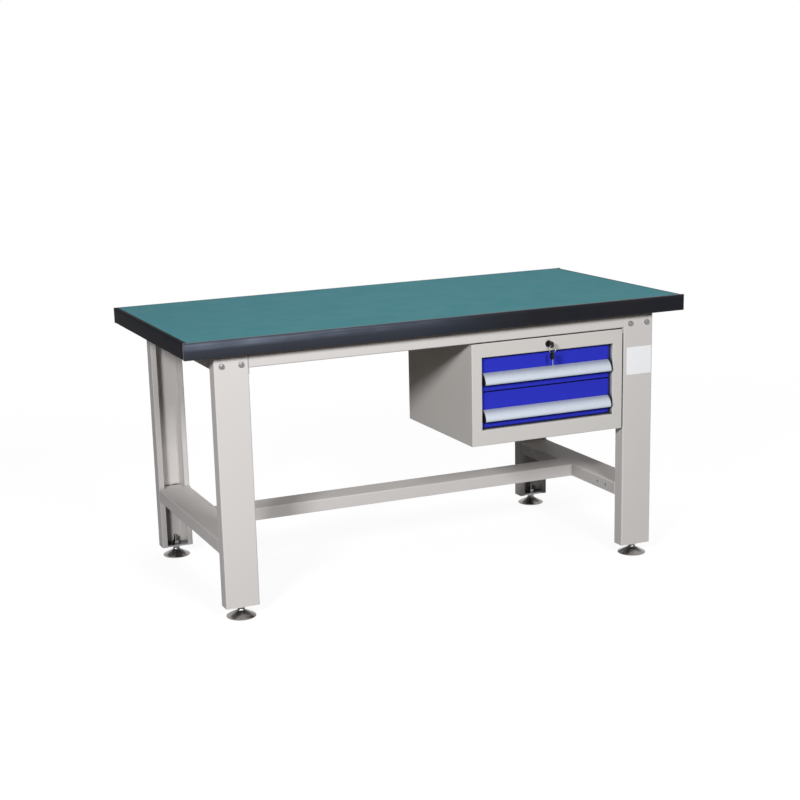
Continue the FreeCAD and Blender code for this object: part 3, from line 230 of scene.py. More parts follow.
def noise(tree, scale=1.0, detail=2.0, roughness=0.5, stretch=None):
    """Soft noise over the piece, stretched along its axes where asked."""
    place = object_place(tree, stretch)
    inputs = {"Vector": place, "Scale": scale, "Detail": detail, "Roughness": roughness}
    return add(tree, "ShaderNodeTexNoise", inputs).outputs[0]


def new_group(name, inputs, outputs):
    """Shader node group with its sockets; returns the tree, its inputs and its output node."""
    tree = bpy.data.node_groups.new(name, "ShaderNodeTree")
    for way, sockets in (("INPUT", inputs), ("OUTPUT", outputs)):
        for label, kind in sockets:
            tree.interface.new_socket(label, in_out=way, socket_type=f"NodeSocket{kind}")
    return tree, tree.nodes.new("NodeGroupInput").outputs, tree.nodes.new("NodeGroupOutput")


def feed(tree, node, values):
    """Links sockets to a node's inputs by name."""
    for label, socket in values.items():
        tree.links.new(socket, node.inputs[label])


REACH_AND_AMOUNT = [("Reach", "Float"), ("Amount", "Float")]
MASK = [("Mask", "Float")]


def make_powder_coat_group():
    """Fine orange peel, a broad drift of the tint and a drift of the gloss."""
    tree, given, output = new_group(
        "powder coat",
        [("Colour", "Color"), ("Drift", "Float"), ("Peel Scale", "Float"), ("Gloss", "Float")],
        [("Colour", "Color"), ("Roughness", "Float"), ("Height", "Float")],
    )
    broad = calc(tree, "SUBTRACT", noise(tree, scale=5.0, detail=3.0), 0.5)
    shade = calc(tree, "MULTIPLY_ADD", broad, given["Drift"], 1.0)
    coloured = add(tree, "ShaderNodeVectorMath", {0: given["Colour"], "Scale": shade}, operation="SCALE")
    patches = ramp(tree, noise(tree, scale=14.0, detail=4.0), 0.3, 0.7, -0.06, 0.06)
    rough = calc(tree, "ADD", given["Gloss"], patches)
    peel = noise(tree, scale=given["Peel Scale"], roughness=0.4)
    feed(tree, output, {"Colour": coloured.outputs[0], "Roughness": rough, "Height": peel})


def make_edge_group():
    """Mask that rises where the surface turns sharply, broken up by a noise."""
    tree, given, output = new_group("edge rub", REACH_AND_AMOUNT, MASK)
    rounded = add(tree, "ShaderNodeBevel", {"Radius": given["Reach"]}, samples=4).outputs[0]
    plain = add(tree, "ShaderNodeNewGeometry").outputs["Normal"]
    facing = add(tree, "ShaderNodeVectorMath", {0: rounded, 1: plain}, operation="DOT_PRODUCT")
    turn = ramp(tree, facing.outputs["Value"], 0.99, 0.80)
    patchy = ramp(tree, noise(tree, scale=55.0, detail=5.0, roughness=0.65), 0.40, 0.72)
    worn = calc(tree, "MULTIPLY", turn, patchy)
    feed(tree, output, {"Mask": calc(tree, "MULTIPLY", worn, given["Amount"])})


def make_dust_group():
    """Thin dust on faces that look up, in soft patches."""
    tree, given, output = new_group("settled dust", [("Amount", "Float")], MASK)
    normal = add(tree, "ShaderNodeNewGeometry").outputs["Normal"]
    height = add(tree, "ShaderNodeSeparateXYZ", {0: normal}).outputs[2]
    patches = ramp(tree, noise(tree, scale=9.0, detail=6.0, roughness=0.6), 0.35, 0.75)
    settled = calc(tree, "MULTIPLY", ramp(tree, height, 0.5, 1.0), patches)
    feed(tree, output, {"Mask": calc(tree, "MULTIPLY", settled, given["Amount"])})


def make_painted_shade_group():
    """Mask of painted shade that rises in gaps and inner corners, where little is open within a short reach.
    """
    tree, given, output = new_group("recess grime", REACH_AND_AMOUNT, MASK)
    nearby = add(tree, "ShaderNodeAmbientOcclusion", {"Distance": given["Reach"]}, samples=8)
    hidden = ramp(tree, nearby.outputs["AO"], 0.85, 0.5)
    feed(tree, output, {"Mask": calc(tree, "MULTIPLY", hidden, given["Amount"])})


def make_drawn_group():
    """Fine lines drawn along one direction, for extruded and brushed metal."""
    tree, given, output = new_group(
        "drawn lines",
        [("Stretch", "Vector"), ("Gloss", "Float"), ("Depth", "Float")],
        [("Roughness", "Float"), ("Height", "Float")],
    )
    lines = noise(tree, detail=4.0, roughness=0.6, stretch=given["Stretch"])
    spread = calc(tree, "MULTIPLY", calc(tree, "SUBTRACT", lines, 0.5), given["Depth"])
    feed(tree, output, {"Roughness": calc(tree, "ADD", given["Gloss"], spread), "Height": lines})


GROUP_MAKERS = {
    "powder coat": make_powder_coat_group,
    "edge rub": make_edge_group,
    "settled dust": make_dust_group,
    "recess grime": make_painted_shade_group,
    "drawn lines": make_drawn_group,
}


def use_group(tree, name, inputs):
    """Outputs of a shared effect, built when first asked for."""
    if name not in bpy.data.node_groups:
        GROUP_MAKERS[name]()
    return add(tree, "ShaderNodeGroup", inputs, node_tree=bpy.data.node_groups[name]).outputs


SHADER = "Principled BSDF"


def new_finish(name, settings):
    """Material with one Principled shader and its constant sockets."""
    material = bpy.data.materials.new(name)
    material.use_nodes = True
    for key, value in settings.items():
        material.node_tree.nodes[SHADER].inputs[key].default_value = value
    return material, material.node_tree


def cover(material, colour, rough, height, strength, distance):
    """Feeds a finish its colour, its roughness and the bumps of a height."""
    tree = material.node_tree
    inputs = {"Strength": strength, "Distance": distance, "Height": height}
    normal = add(tree, "ShaderNodeBump", inputs).outputs[0]
    feed(tree, tree.nodes[SHADER], {"Base Color": colour, "Roughness": rough, "Normal": normal})
    return material


# Finishes

RUBBED_GREY = (0.80, 0.79, 0.77, 1)
RUBBED_BLUE = (0.09, 0.11, 0.62, 1)
RUBBED_BLACK = (0.035, 0.034, 0.038, 1)
DUST = (0.55, 0.53, 0.50, 1)
LAMINATE_FLECK = (0.045, 0.19, 0.205, 1)
EDGING_BLOOM = (0.020, 0.017, 0.018, 1)
CHIP_DARK = (0.30, 0.21, 0.12, 1)
CHIP_LIGHT = (0.52, 0.42, 0.28, 1)
PLATING_SPOT = (0.10, 0.095, 0.09, 1)
PLATE_CLOUD = (0.84, 0.86, 0.92, 1)
# Near black of the painted shade in gaps and inner corners
PAINTED_SHADE = (0.010, 0.010, 0.012, 1)

# Painted sheen on the front strip: places along the bench and levels between which it builds up
FAINT_SHEEN_ALONG = (0.26, -0.10)
FAINT_SHEEN_LEVELS = (0.725, 0.748)
BRIGHT_SHEEN_ALONG = (0.10, -0.50)
BRIGHT_SHEEN_FOOT = (0.747, 0.757)
BRIGHT_SHEEN_HEAD = (0.7695, 0.766)


def painted_finish(name, paint, gloss=0.42, drift=0.05, spots_and_shade=0.3, rub=0.25, bare=RUBBED_GREY):
    """Powder-coated steel: orange peel, faint drift, paler folds, a little dust and painted shade in gaps."""
    material, tree = new_finish(name, {"Specular IOR Level": 0.01})
    inputs = {"Colour": paint, "Drift": drift, "Peel Scale": 700.0, "Gloss": gloss}
    coat = use_group(tree, "powder coat", inputs)
    rubbed = use_group(tree, "edge rub", {"Reach": 0.0016, "Amount": rub})["Mask"]
    dusty = use_group(tree, "settled dust", {"Amount": 0.06})["Mask"]
    colour = blend(tree, dusty, blend(tree, rubbed, coat["Colour"], bare), DUST)
    # Painted shade: the colour darkens towards near black in gaps and inner corners, by ambient occlusion
    # within a short reach
    hidden = use_group(tree, "recess grime", {"Reach": 0.016, "Amount": spots_and_shade})["Mask"]
    colour = blend(tree, hidden, colour, PAINTED_SHADE)
    return cover(material, colour, coat["Roughness"], coat["Height"], strength=0.12, distance=0.0004)


def laminate_finish(paint):
    """Teal laminate: fine pebble with darker flecks and a faint drift of the tint."""
    material, tree = new_finish("teal laminate", {"Specular IOR Level": 0.008})
    inputs = {"Colour": paint, "Drift": 0.05, "Peel Scale": 1300.0, "Gloss": 0.55}
    coat = use_group(tree, "powder coat", inputs)
    grain = ramp(tree, noise(tree, scale=2600.0, detail=1.0), 0.30, 0.70, 0.0, 0.14)
    colour = blend(tree, grain, coat["Colour"], LAMINATE_FLECK)
    return cover(material, colour, coat["Roughness"], coat["Height"], strength=0.10, distance=0.0003)


def painted_sheen_mask(tree):
    """Mask of a painted sheen: faint on a strip's left part, stronger and streaky along its upper half."""
    along, _, level = add(tree, "ShaderNodeSeparateXYZ", {0: object_place(tree)}).outputs
    fine = noise(tree, detail=4.0, roughness=0.6, stretch=(8.0, 1.0, 330.0))
    coarse = noise(tree, stretch=(11.0, 1.0, 30.0))
    streaks = ramp(tree, fine, 0.30, 0.70, 0.45, 1.2)
    patches = ramp(tree, coarse, 0.35, 0.65, 0.6, 1.1)
    rise = ramp(tree, level, *FAINT_SHEEN_LEVELS, 0.06, 0.11)
    thin = calc(tree, "MULTIPLY", ramp(tree, along, *FAINT_SHEEN_ALONG), rise)
    foot, head = (ramp(tree, level, *span) for span in (BRIGHT_SHEEN_FOOT, BRIGHT_SHEEN_HEAD))
    reach = ramp(tree, along, *BRIGHT_SHEEN_ALONG, 0.0, 0.42)
    thick = calc(tree, "MULTIPLY", calc(tree, "MINIMUM", foot, head), reach)
    return calc(tree, "MULTIPLY_ADD", calc(tree, "MULTIPLY", thick, patches), streaks, thin)


def edging_finish(name, paint, sheen, painted_sheen=None):
    """Black edge strip: extruded lengthwise, paler scuffs on its edges, a painted sheen where asked."""
    material, tree = new_finish(name, {"Specular IOR Level": sheen})
    lines = use_group(tree, "drawn lines", {"Stretch": (14.0, 14.0, 900.0), "Gloss": 0.36, "Depth": 0.2})
    rubbed = use_group(tree, "edge rub", {"Reach": 0.002, "Amount": 0.5})["Mask"]
    broad = ramp(tree, noise(tree, scale=7.0, detail=4.0), 0.35, 0.7, 0.0, 0.35)
    colour = blend(tree, rubbed, blend(tree, broad, paint, EDGING_BLOOM), RUBBED_BLACK)
    # Painted highlight: a paler streaky sheen over the strip's left part and upper half
    if painted_sheen:
        colour = blend(tree, painted_sheen_mask(tree), colour, painted_sheen)
    return cover(material, colour, lines["Roughness"], lines["Height"], strength=0.06, distance=0.0003)


def board_finish(paint):
    """Pressed board: flecks of chips in two sizes, dull."""
    material, tree = new_finish("pressed board", {"Specular IOR Level": 0.1})
    chips = add(tree, "ShaderNodeTexVoronoi", {"Vector": object_place(tree), "Scale": 260.0})
    fleck = add(tree, "ShaderNodeSeparateColor", {0: chips.outputs["Color"]}).outputs[0]
    fibre = noise(tree, detail=4.0, stretch=(60.0, 400.0, 400.0))
    colour = blend(tree, ramp(tree, fleck, 0.2, 0.9, 0.0, 0.55), paint, CHIP_DARK)
    colour = blend(tree, ramp(tree, fibre, 0.45, 0.8, 0.0, 0.4), colour, CHIP_LIGHT)
    rough = ramp(tree, fleck, 0.0, 1.0, 0.72, 0.9)
    return cover(material, colour, rough, fleck, strength=0.15, distance=0.0004)


def metal_finish(name, tone, gloss=0.34, stretch=(250.0, 250.0, 250.0), depth=0.18, spots_and_shade=0.25):
    """Bare or plated metal: drawn lines, cloudy plating and darker spots."""
    material, tree = new_finish(name, {"Metallic": 1.0})
    lines = use_group(tree, "drawn lines", {"Stretch": stretch, "Gloss": gloss, "Depth": depth})
    # Here the amount sets only the darker plating spots, with no painted shade
    clouds = ramp(tree, noise(tree, scale=60.0, detail=5.0, roughness=0.6), 0.42, 0.78, 0.0, spots_and_shade)
    colour = blend(tree, clouds, tone, PLATING_SPOT)
    return cover(material, colour, lines["Roughness"], lines["Height"], strength=0.05, distance=0.0002)


def plastic_finish(paint):
    """Moulded black plastic with a spark-eroded grain and shiny corners."""
    material, tree = new_finish("moulded plastic", {"Specular IOR Level": 0.25})
    rubbed = use_group(tree, "edge rub", {"Reach": 0.0008, "Amount": 0.5})["Mask"]
    rough = ramp(tree, noise(tree, scale=120.0, detail=3.0), 0.3, 0.7, 0.36, 0.5)
    colour = blend(tree, rubbed, paint, RUBBED_BLACK)
    return cover(material, colour, rough, noise(tree, scale=1800.0), strength=0.15, distance=0.0002)


def plate_finish(paint):
    """Blank white plate: satin film with faint cloudiness."""
    material, tree = new_finish("blank plate", {"Specular IOR Level": 0.2})
    clouds = noise(tree, scale=40.0, detail=4.0)
    colour = blend(tree, ramp(tree, clouds, 0.35, 0.75, 0.0, 0.12), paint, PLATE_CLOUD)
    rough = ramp(tree, clouds, 0.3, 0.7, 0.30, 0.42)
    return cover(material, colour, rough, noise(tree, scale=900.0), strength=0.04, distance=0.0002)


def dress(material, names):
    """Gives the solids a finish in place of their packed one."""
    for name in names:
        slots = NODES[name].data.materials
        slots.clear()
        slots.append(material)


# Surfaces

FOLD_ANGLE = math.radians(35)
MERGE_DISTANCE = 1e-7

# Points round each kind of surface
HEXAGON_POINTS = 72
STUD_POINTS = 48
SLAB_POINTS = 128
BEAD_POINTS = 14
WIRE_POINTS = 12
BLADE_POINTS = 40

# Rows along a wave of a thread or bead, and along the other surfaces
WAVE_ROWS = 8
FLARE_ROWS = 9
BLADE_ROWS = 121
WIRE_ROWS = 193

# Shares: flat end and chamfer of a hexagon's width across flats, swell of a bead's radius
CHAMFER_FACE = 0.475
CHAMFER_HEIGHT = 0.062
BEAD_SWELL = 0.14


def grid_surface(points, wrap_rows=False):
    """Points and quads of rows that join round; the last row joins the first where asked."""
    rows, columns, axes = points.shape
    here = np.arange(rows * columns).reshape(rows, columns)
    beside = np.roll(here, -1, axis=1)
    quads = np.stack((here, beside, np.roll(beside, -1, axis=0), np.roll(here, -1, axis=0)), axis=-1)
    return points.reshape(-1, axes), quads[: rows if wrap_rows else rows - 1].reshape(-1, 4)


def build_piece(name, parts, material, body, replaced=()):
    """One mesh object from closed (points, faces) parts, riding on a body."""
    counts = np.cumsum([0] + [len(points) for points, _ in parts])
    points = np.concatenate([points for points, _ in parts])
    faces = np.concatenate([faces + start for (_, faces), start in zip(parts, counts)])
    mesh = bpy.data.meshes.new(name)
    mesh.from_pydata(points.tolist(), [], faces.tolist())
    work = bmesh.new()
    work.from_mesh(mesh)
    bmesh.ops.remove_doubles(work, verts=work.verts, dist=MERGE_DISTANCE)
    bmesh.ops.recalc_face_normals(work, faces=work.faces)
    work.to_mesh(mesh)
    work.free()
    mesh.shade_smooth()
    mesh.set_sharp_from_angle(angle=FOLD_ANGLE)
    mesh.materials.append(material)
    piece = bpy.data.objects.new(name, mesh)
    bpy.context.scene.collection.objects.link(piece)
    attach(piece, body)
    if replaced:
        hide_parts(*replaced)


def ring_angles(count):
    """Angles evenly round a circle."""
    return np.linspace(0, 2 * np.pi, count, endpoint=False)


def all_round(values, count):
    """One value for each row, the same at all points round it."""
    return np.broadcast_to(np.asarray(values)[:, None], (len(values), count))


def stand(surface, place, along=(0, 0, 1), side=(1, 0, 0)):
    """Surface turned so that its Z runs along one direction and its X along another, then moved."""
    points, faces = surface
    axes = np.stack((side, np.cross(along, side), along))
    return points @ axes + np.asarray(place), faces


def ring_stack(radii, levels, wrap_rows=False):
    """Rings about Z: a radius for each row and angle, a height for each row."""
    angles = ring_angles(radii.shape[1])
    heights = all_round(levels, len(angles))
    points = np.stack((radii * np.cos(angles), radii * np.sin(angles), heights), axis=-1)
    return grid_surface(points, wrap_rows)


def chamfered_hexagon(width, depths):
    """Hexagon cut by a 30 degree cone: the lesser of the two radii, for depths below the end face.

    The hexagon's radius is half the width over the cosine of the turn from the nearest flat.
    """
    turn = np.mod(ring_angles(HEXAGON_POINTS) + np.pi / 6, np.pi / 3) - np.pi / 6
    cone = CHAMFER_FACE * width + np.asarray(depths)[:, None] * math.sqrt(3)
    return np.minimum((width / 2 / np.cos(turn))[None, :], cone)


def bolt_surface(width, head, diameter, shank):
    """Hexagon bolt along Z with its head above 0: rings up the shank, then up the chamfered head."""
    radius, point = diameter / 2, diameter / 10
    shank_radii = all_round((0, radius - point, radius, radius), HEXAGON_POINTS)
    shank_levels = (-shank, -shank, point - shank, 0)
    head_levels = np.concatenate(((0,), head - width * np.linspace(CHAMFER_HEIGHT, 0, 7)))
    head_radii = chamfered_hexagon(width, head - head_levels)
    radii = np.concatenate((shank_radii, head_radii, all_round((0.0,), HEXAGON_POINTS)))
    return ring_stack(radii, np.concatenate((shank_levels, head_levels, (head,))))


def nut_surface(width, height, bore):
    """Hexagon nut along Z from 0: rings up the outside, chamfered at its ends, and down the bore."""
    rise = width * np.linspace(0, CHAMFER_HEIGHT, 6)
    outer_levels = np.concatenate((rise, height - rise[::-1]))
    outer_radii = chamfered_hexagon(width, np.minimum(outer_levels, height - outer_levels))
    lead = height / 12
    bore_radii = all_round((bore + lead, bore, bore, bore + lead), HEXAGON_POINTS)
    bore_levels = (height, height - lead, lead, 0)
    levels = np.concatenate((outer_levels, bore_levels))
    return ring_stack(np.concatenate((outer_radii, bore_radii)), levels, wrap_rows=True)


def hollow_arc(start, end, radius, count):
    """Points of an arc between two points, bulging towards the axis, its centre on the outer side."""
    start, end = np.array(start), np.array(end)
    chord = end - start
    size = np.linalg.norm(chord)
    normal = np.array((chord[1], -chord[0])) / size
    centre = (start + end) / 2 + normal * math.sqrt(radius**2 - size**2 / 4)
    first, last = (math.atan2(*(point - centre)[::-1]) % (2 * np.pi) for point in (start, end))
    turn = np.linspace(first, last, count)
    return centre + radius * np.stack((np.cos(turn), np.sin(turn)), axis=-1)


def foot_surface(bell, stud_radius, top, pitch, depth):
    """Levelling foot: the bell's profile turned about Z, then a stud with a rolled thread.

    The stud's radius dips by half of depth * (1 + cos(2 pi (z / pitch - turn))), fading at both ends.
    """
    start = bell[-1, 1]
    chamfer = stud_radius / 5
    levels = np.linspace(start, top - chamfer, int((top - start) / pitch * WAVE_ROWS))
    fade = np.clip(np.minimum(levels - start, top - chamfer - levels) / pitch, 0, 1)[:, None]
    wave = 1 + np.cos(2 * np.pi * levels[:, None] / pitch - ring_angles(STUD_POINTS))
    radii = (
        all_round(bell[:, 0], STUD_POINTS),
        stud_radius - depth / 2 * fade * wave,
        all_round((stud_radius - chamfer, 0.0), STUD_POINTS),
    )
    return ring_stack(np.concatenate(radii), np.concatenate((bell[:, 1], levels, (top, top))))


def rounded_rectangle(angles, half_width, half_height, corner):
    """Outline at each angle: a superellipse of power 2 * smaller half / corner."""
    power = 2 * min(half_width, half_height) / corner
    cosine, sine = np.cos(angles), np.sin(angles)
    reach = (np.abs(cosine) ** power + np.abs(sine) ** power) ** (-1 / power)
    return half_width * reach * cosine, half_height * reach * sine


def slab_surface(half_width, half_height, corner, thickness):
    """Slab along Z from 0: a rounded outline that swells from a point, rises to a soft rim and closes."""
    across, up = rounded_rectangle(ring_angles(SLAB_POINTS), half_width, half_height, corner)
    inset = thickness / min(half_width, half_height) * np.array((0.0, 0.0, 0.15, 0.6, 1.6))
    shrink = np.concatenate(((0.0,), 1 - inset, (0.6, 0.0)))
    levels = all_round(thickness * np.array((0.0, 0.0, 0.6, 0.88, 1.0, 1.0, 1.0, 1.0)), SLAB_POINTS)
    return grid_surface(np.stack((np.outer(shrink, across), np.outer(shrink, up), levels), axis=-1))


def tube_surface(centres, radii, sides):
    """Rings of given radii round a path, square to it."""
    tangent = np.gradient(centres, axis=0)
    tangent /= np.linalg.norm(tangent, axis=1)[:, None]
    helper = np.where(np.abs(tangent[:, 1:2]) < 0.9, (0.0, 1.0, 0.0), (1.0, 0.0, 0.0))
    side = np.cross(tangent, helper)
    side /= np.linalg.norm(side, axis=1)[:, None]
    up = np.cross(side, tangent)
    angles = ring_angles(sides)[:, None]
    ring = np.cos(angles) * side[:, None] + np.sin(angles) * up[:, None]
    return grid_surface(centres[:, None] + radii[:, None, None] * ring)


def round_ends(along, radius):
    """Radius along a path that closes as a half ball at both ends."""
    close = np.clip(np.minimum(along, along[-1] - along) / radius, 0, 1)
    return radius * np.sqrt(1 - (1 - close) ** 2)


def bead_surface(path, radius, ripple):
    """Weld bead: a tube along a path, its radius times 1 + swell * sin(2 pi along / ripple)."""
    reach = np.concatenate(([0], np.cumsum(np.linalg.norm(np.diff(path, axis=0), axis=1))))
    along = np.linspace(0, reach[-1], max(int(reach[-1] / ripple * WAVE_ROWS), 2 * WAVE_ROWS))
    centres = np.stack([np.interp(along, reach, path[:, axis]) for axis in range(3)], axis=-1)
    wave = 1 + BEAD_SWELL * np.sin(2 * np.pi * along / ripple)
    return tube_surface(centres, round_ends(along, radius) * wave, BEAD_POINTS)


def split_ring_surface(centre, radius, wire):
    """Key ring of two turns about Y: a helix that moves on by one wire each turn."""
    turns = np.linspace(0, 2, WIRE_ROWS)
    angles = 2 * np.pi * turns - np.pi / 3
    shift = (turns - 1) * wire
    offset = np.stack((radius * np.cos(angles), shift, radius * np.sin(angles)), axis=-1)
    wire_radii = round_ends(turns * 2 * np.pi * radius, wire / 2)
    return tube_surface(centre + offset, wire_radii, WIRE_POINTS)


def blade_surface(reach, width, thickness, cuts, pitch):
    """Key blade along Z: rounded rectangles whose lower edge rises by V-shaped cuts and whose tip tapers."""
    along = np.linspace(0, reach, BLADE_ROWS)
    places = reach - pitch * np.arange(1, len(cuts) + 1)
    notch = np.max(np.array(cuts)[:, None] - np.abs(along - places[:, None]), axis=0).clip(0)
    tip = (along - (reach - width / 3)).clip(0)
    low, high = -width / 2 + np.maximum(notch, tip), width / 2 - tip
    closed = np.ones_like(along)
    closed[[0, -1]] = 0
    across, up = rounded_rectangle(ring_angles(BLADE_POINTS), 1.0, 1.0, 0.35)
    thick = np.outer(closed * thickness / 2, across)
    height = (low + high)[:, None] / 2 + np.outer(closed * (high - low) / 2, up)
    return grid_surface(np.stack((thick, height, all_round(along, BLADE_POINTS)), axis=-1))


# Operators, one for each group of like pieces

class BENCH_OT_worktop(bpy.types.Operator):
    """Finish the laminate, the board and the edge strips"""

    bl_idname = "bench.worktop"
    bl_label = "Worktop"

    satin_sheen = 0.13
    dull_sheen = 0.004

    def execute(self, context):
        finishes = context.scene.bench_finishes
        black = finishes.edging
        dress(laminate_finish(finishes.laminate), ["worktop_laminate"])
        dress(board_finish(finishes.board), ["worktop_core"])
        # The front strip gets a painted sheen on its left part and upper half
        sheen_painted_strip = edging_finish("hazy edge strip", black, self.satin_sheen, finishes.painted_sheen)
        dress(sheen_painted_strip, ["front_edge_strip"])
        dress(edging_finish("rubbed edge strip", black, self.satin_sheen), ["rear_edge_strip"])
        dull = edging_finish("dull edge strip", black, self.dull_sheen)
        dress(dull, [f"{side}_edge_strip" for side in SIDES])
        return {"FINISHED"}


class BENCH_OT_frame(bpy.types.Operator):
    """Paint legs, rails, aprons and stretcher"""

    bl_idname = "bench.frame"
    bl_label = "Frame"

    def execute(self, context):
        paint = painted_finish("frame powder coat", context.scene.bench_finishes.frame_paint)
        rails = [f"{side}_{level}_rail" for side in SIDES for level in ("top", "lower")]
        aprons = [f"{face}_apron" for face in FACES]
        dress(paint, [f"{corner}_leg" for corner in CORNERS] + rails + aprons + ["lower_stretcher"])
        return {"FINISHED"}


class BENCH_OT_cabinet(bpy.types.Operator):
    """Paint the cabinet, its hangers and the drawer trays"""

    bl_idname = "bench.cabinet"
    bl_label = "Cabinet"

    def execute(self, context):
        tone = context.scene.bench_finishes.cabinet_paint
        # Strong painted shade in the cabinet's gaps and corners
        paint = painted_finish("cabinet powder coat", tone, gloss=0.40, spots_and_shade=0.85)
        panels = ("left_side", "right_side", "top", "bottom", "back", "hangers")
        trays = [f"{drawer}_drawer_tray" for drawer in DRAWERS]
        dress(paint, [f"cabinet_{panel}" for panel in panels] + trays)
        return {"FINISHED"}


class BENCH_OT_drawers(bpy.types.Operator):
    """Paint the drawer fronts and finish handles, caps and slides"""

    bl_idname = "bench.drawers"
    bl_label = "Drawers"

    along_handle = (3.0, 900.0, 900.0)
    along_slide = (700.0, 4.0, 700.0)

    def execute(self, context):
        finishes = context.scene.bench_finishes
        # Strong painted shade in the gaps round the drawer fronts
        worn = {"spots_and_shade": 0.9, "rub": 0.18, "bare": RUBBED_BLUE}
        blue = painted_finish("drawer powder coat", finishes.drawer_paint, gloss=0.38, drift=0.08, **worn)
        dress(blue, [f"{drawer}_drawer_front" for drawer in DRAWERS])
        clean = {"stretch": self.along_handle, "depth": 0.16, "spots_and_shade": 0.06}
        drawn = metal_finish("drawn aluminium", finishes.handle_metal, gloss=0.70, **clean)
        dress(drawn, [f"{drawer}_handle" for drawer in DRAWERS])
        dress(plastic_finish(finishes.plastic), [f"{drawer}_handle_caps" for drawer in DRAWERS])
        rolled = metal_finish("rolled zinc", finishes.zinc, gloss=0.33, stretch=self.along_slide)
        members = ("slide_outers", "slide_inners", "ball_cages")
        dress(rolled, [f"{drawer}_{member}" for drawer in DRAWERS for member in members] + ["slide_uprights"])
        return {"FINISHED"}


class BENCH_OT_fixings(bpy.types.Operator):
    """Make the frame bolts and the spare holes' nuts, and finish the other fixings"""

    bl_idname = "bench.fixings"
    bl_label = "Fixings"

    upright = (0, 0, 1)

    def execute(self, context):
        trim = context.scene.bench_trim
        zinc = metal_finish("plated fixings", context.scene.bench_finishes.fixing)
        hidden = ["frame_nuts", "apron_bolts", "worktop_screws", "hanger_bolts", "lock_nut", "cam_nut"]
        dress(zinc, hidden + ["foot_plates"])
        bolt = bolt_surface(trim.bolt_width, trim.bolt_head, trim.bolt_diameter, trim.bolt_length)
        bolts = self.set_at(bolt, self.leg_spots(trim) + self.stretcher_spots(trim))
        build_piece("hexagon_bolts", bolts, zinc, "bench", ["frame_bolts"])
        nut = nut_surface(trim.spare_nut_width, trim.spare_nut_height, trim.spare_nut_bore / 2)
        nuts = self.set_at(nut, self.spare_spots(trim))
        build_piece("spare_hole_nuts", nuts, zinc, "bench")
        return {"FINISHED"}

    def set_at(self, surface, spots):
        """A copy of a surface at each spot, which is a place and the way that its Z points."""
        return [stand(surface, place, along, self.upright) for place, along in spots]

    @staticmethod
    def leg_spots(trim):
        """Two bolts in the outer face of each leg, heads outward."""
        spots = []
        for corner in CORNERS:
            low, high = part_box(f"{corner}_leg")
            outward = -1 if corner.endswith("front") else 1
            face = low.y if outward < 0 else high.y
            for way in (-0.5, 0.5):
                across = (low.x + high.x) / 2 + way * trim.leg_bolt_spread
                spots.append(((across, face, high.z - trim.leg_bolt_drop), (0, outward, 0)))
        return spots

    @staticmethod
    def stretcher_spots(trim):
        """Two bolts in each end plate of the stretcher, heads inside it."""
        low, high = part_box("lower_stretcher")
        ends = ((low.x + trim.stretcher_plate, 1), (high.x - trim.stretcher_plate, -1))
        level = (low.z + high.z) / 2
        pitch = trim.stretcher_bolt_pitch
        return [((end, way * pitch, level), (inward, 0, 0)) for end, inward in ends for way in (-0.5, 0.5)]

    @staticmethod
    def spare_spots(trim):
        """A nut behind each spare hole of the lower rails, against the inside of the sheet."""
        spots = []
        for mount in frame["record"]["mounts"]:
            if mount["kind"] == "bolt_pattern":
                inward = -np.array(mount["axis"])
                place = np.array(mount["pos_m"]) + inward * trim.frame_sheet
                pitch = mount["dims"]["spacing_x_mm"] * MILLIMETRE
                spots.extend((place + (0, way * pitch, 0), inward) for way in (-0.5, 0.5))
        return spots


class BENCH_OT_feet(bpy.types.Operator):
    """Make the levelling feet with threaded studs, and their lock nuts"""

    bl_idname = "bench.feet"
    bl_label = "Levelling feet"

    turned = (120.0, 120.0, 500.0)
    rim_height = 0.003
    rim_round = 0.0008
    shoulder = (0.015, 0.016)
    neck_radius = 0.010
    flare_radius = 0.010
    seat_clearance = 0.0003

    def execute(self, context):
        trim, finishes = context.scene.bench_trim, context.scene.bench_finishes
        plated = metal_finish("plated feet", finishes.foot_metal, gloss=0.26, stretch=self.turned, depth=0.1)
        zinc = metal_finish("plated lock nuts", finishes.fixing)
        stud_radius = trim.stud_diameter / 2
        nut_low, nut_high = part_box("foot_lock_nuts")
        nut = nut_surface(trim.nut_width, nut_high.z - nut_low.z, stud_radius)
        nuts = []
        for corner in CORNERS:
            node = f"{corner}_foot"
            low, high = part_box(node)
            middle = (low + high) / 2
            bell = self.bell_profile((high.x - low.x) / 2, nut_low.z - self.seat_clearance)
            foot = foot_surface(bell, stud_radius, high.z, trim.thread_pitch, trim.thread_depth)
            placed = [stand(foot, (middle.x, middle.y, 0))]
            build_piece(f"{corner}_levelling_foot", placed, plated, node, [node])
            nuts.append(stand(nut, (middle.x, middle.y, nut_low.z)))
        build_piece("levelling_lock_nuts", nuts, zinc, "bench", ["foot_lock_nuts"])
        return {"FINISHED"}

    def bell_profile(self, radius, top):
        """Radius and height from the middle of the base round the rim and up the cone to the neck."""
        edge = self.rim_round
        rim = [(0, 0), (radius - edge, 0), (radius, edge)]
        rim += [(radius, self.rim_height - edge), (radius - edge, self.rim_height)]
        flare = hollow_arc(self.shoulder, (self.neck_radius, top - edge), self.flare_radius, FLARE_ROWS)
        return np.concatenate((rim, flare, [(self.neck_radius - edge, top)]))


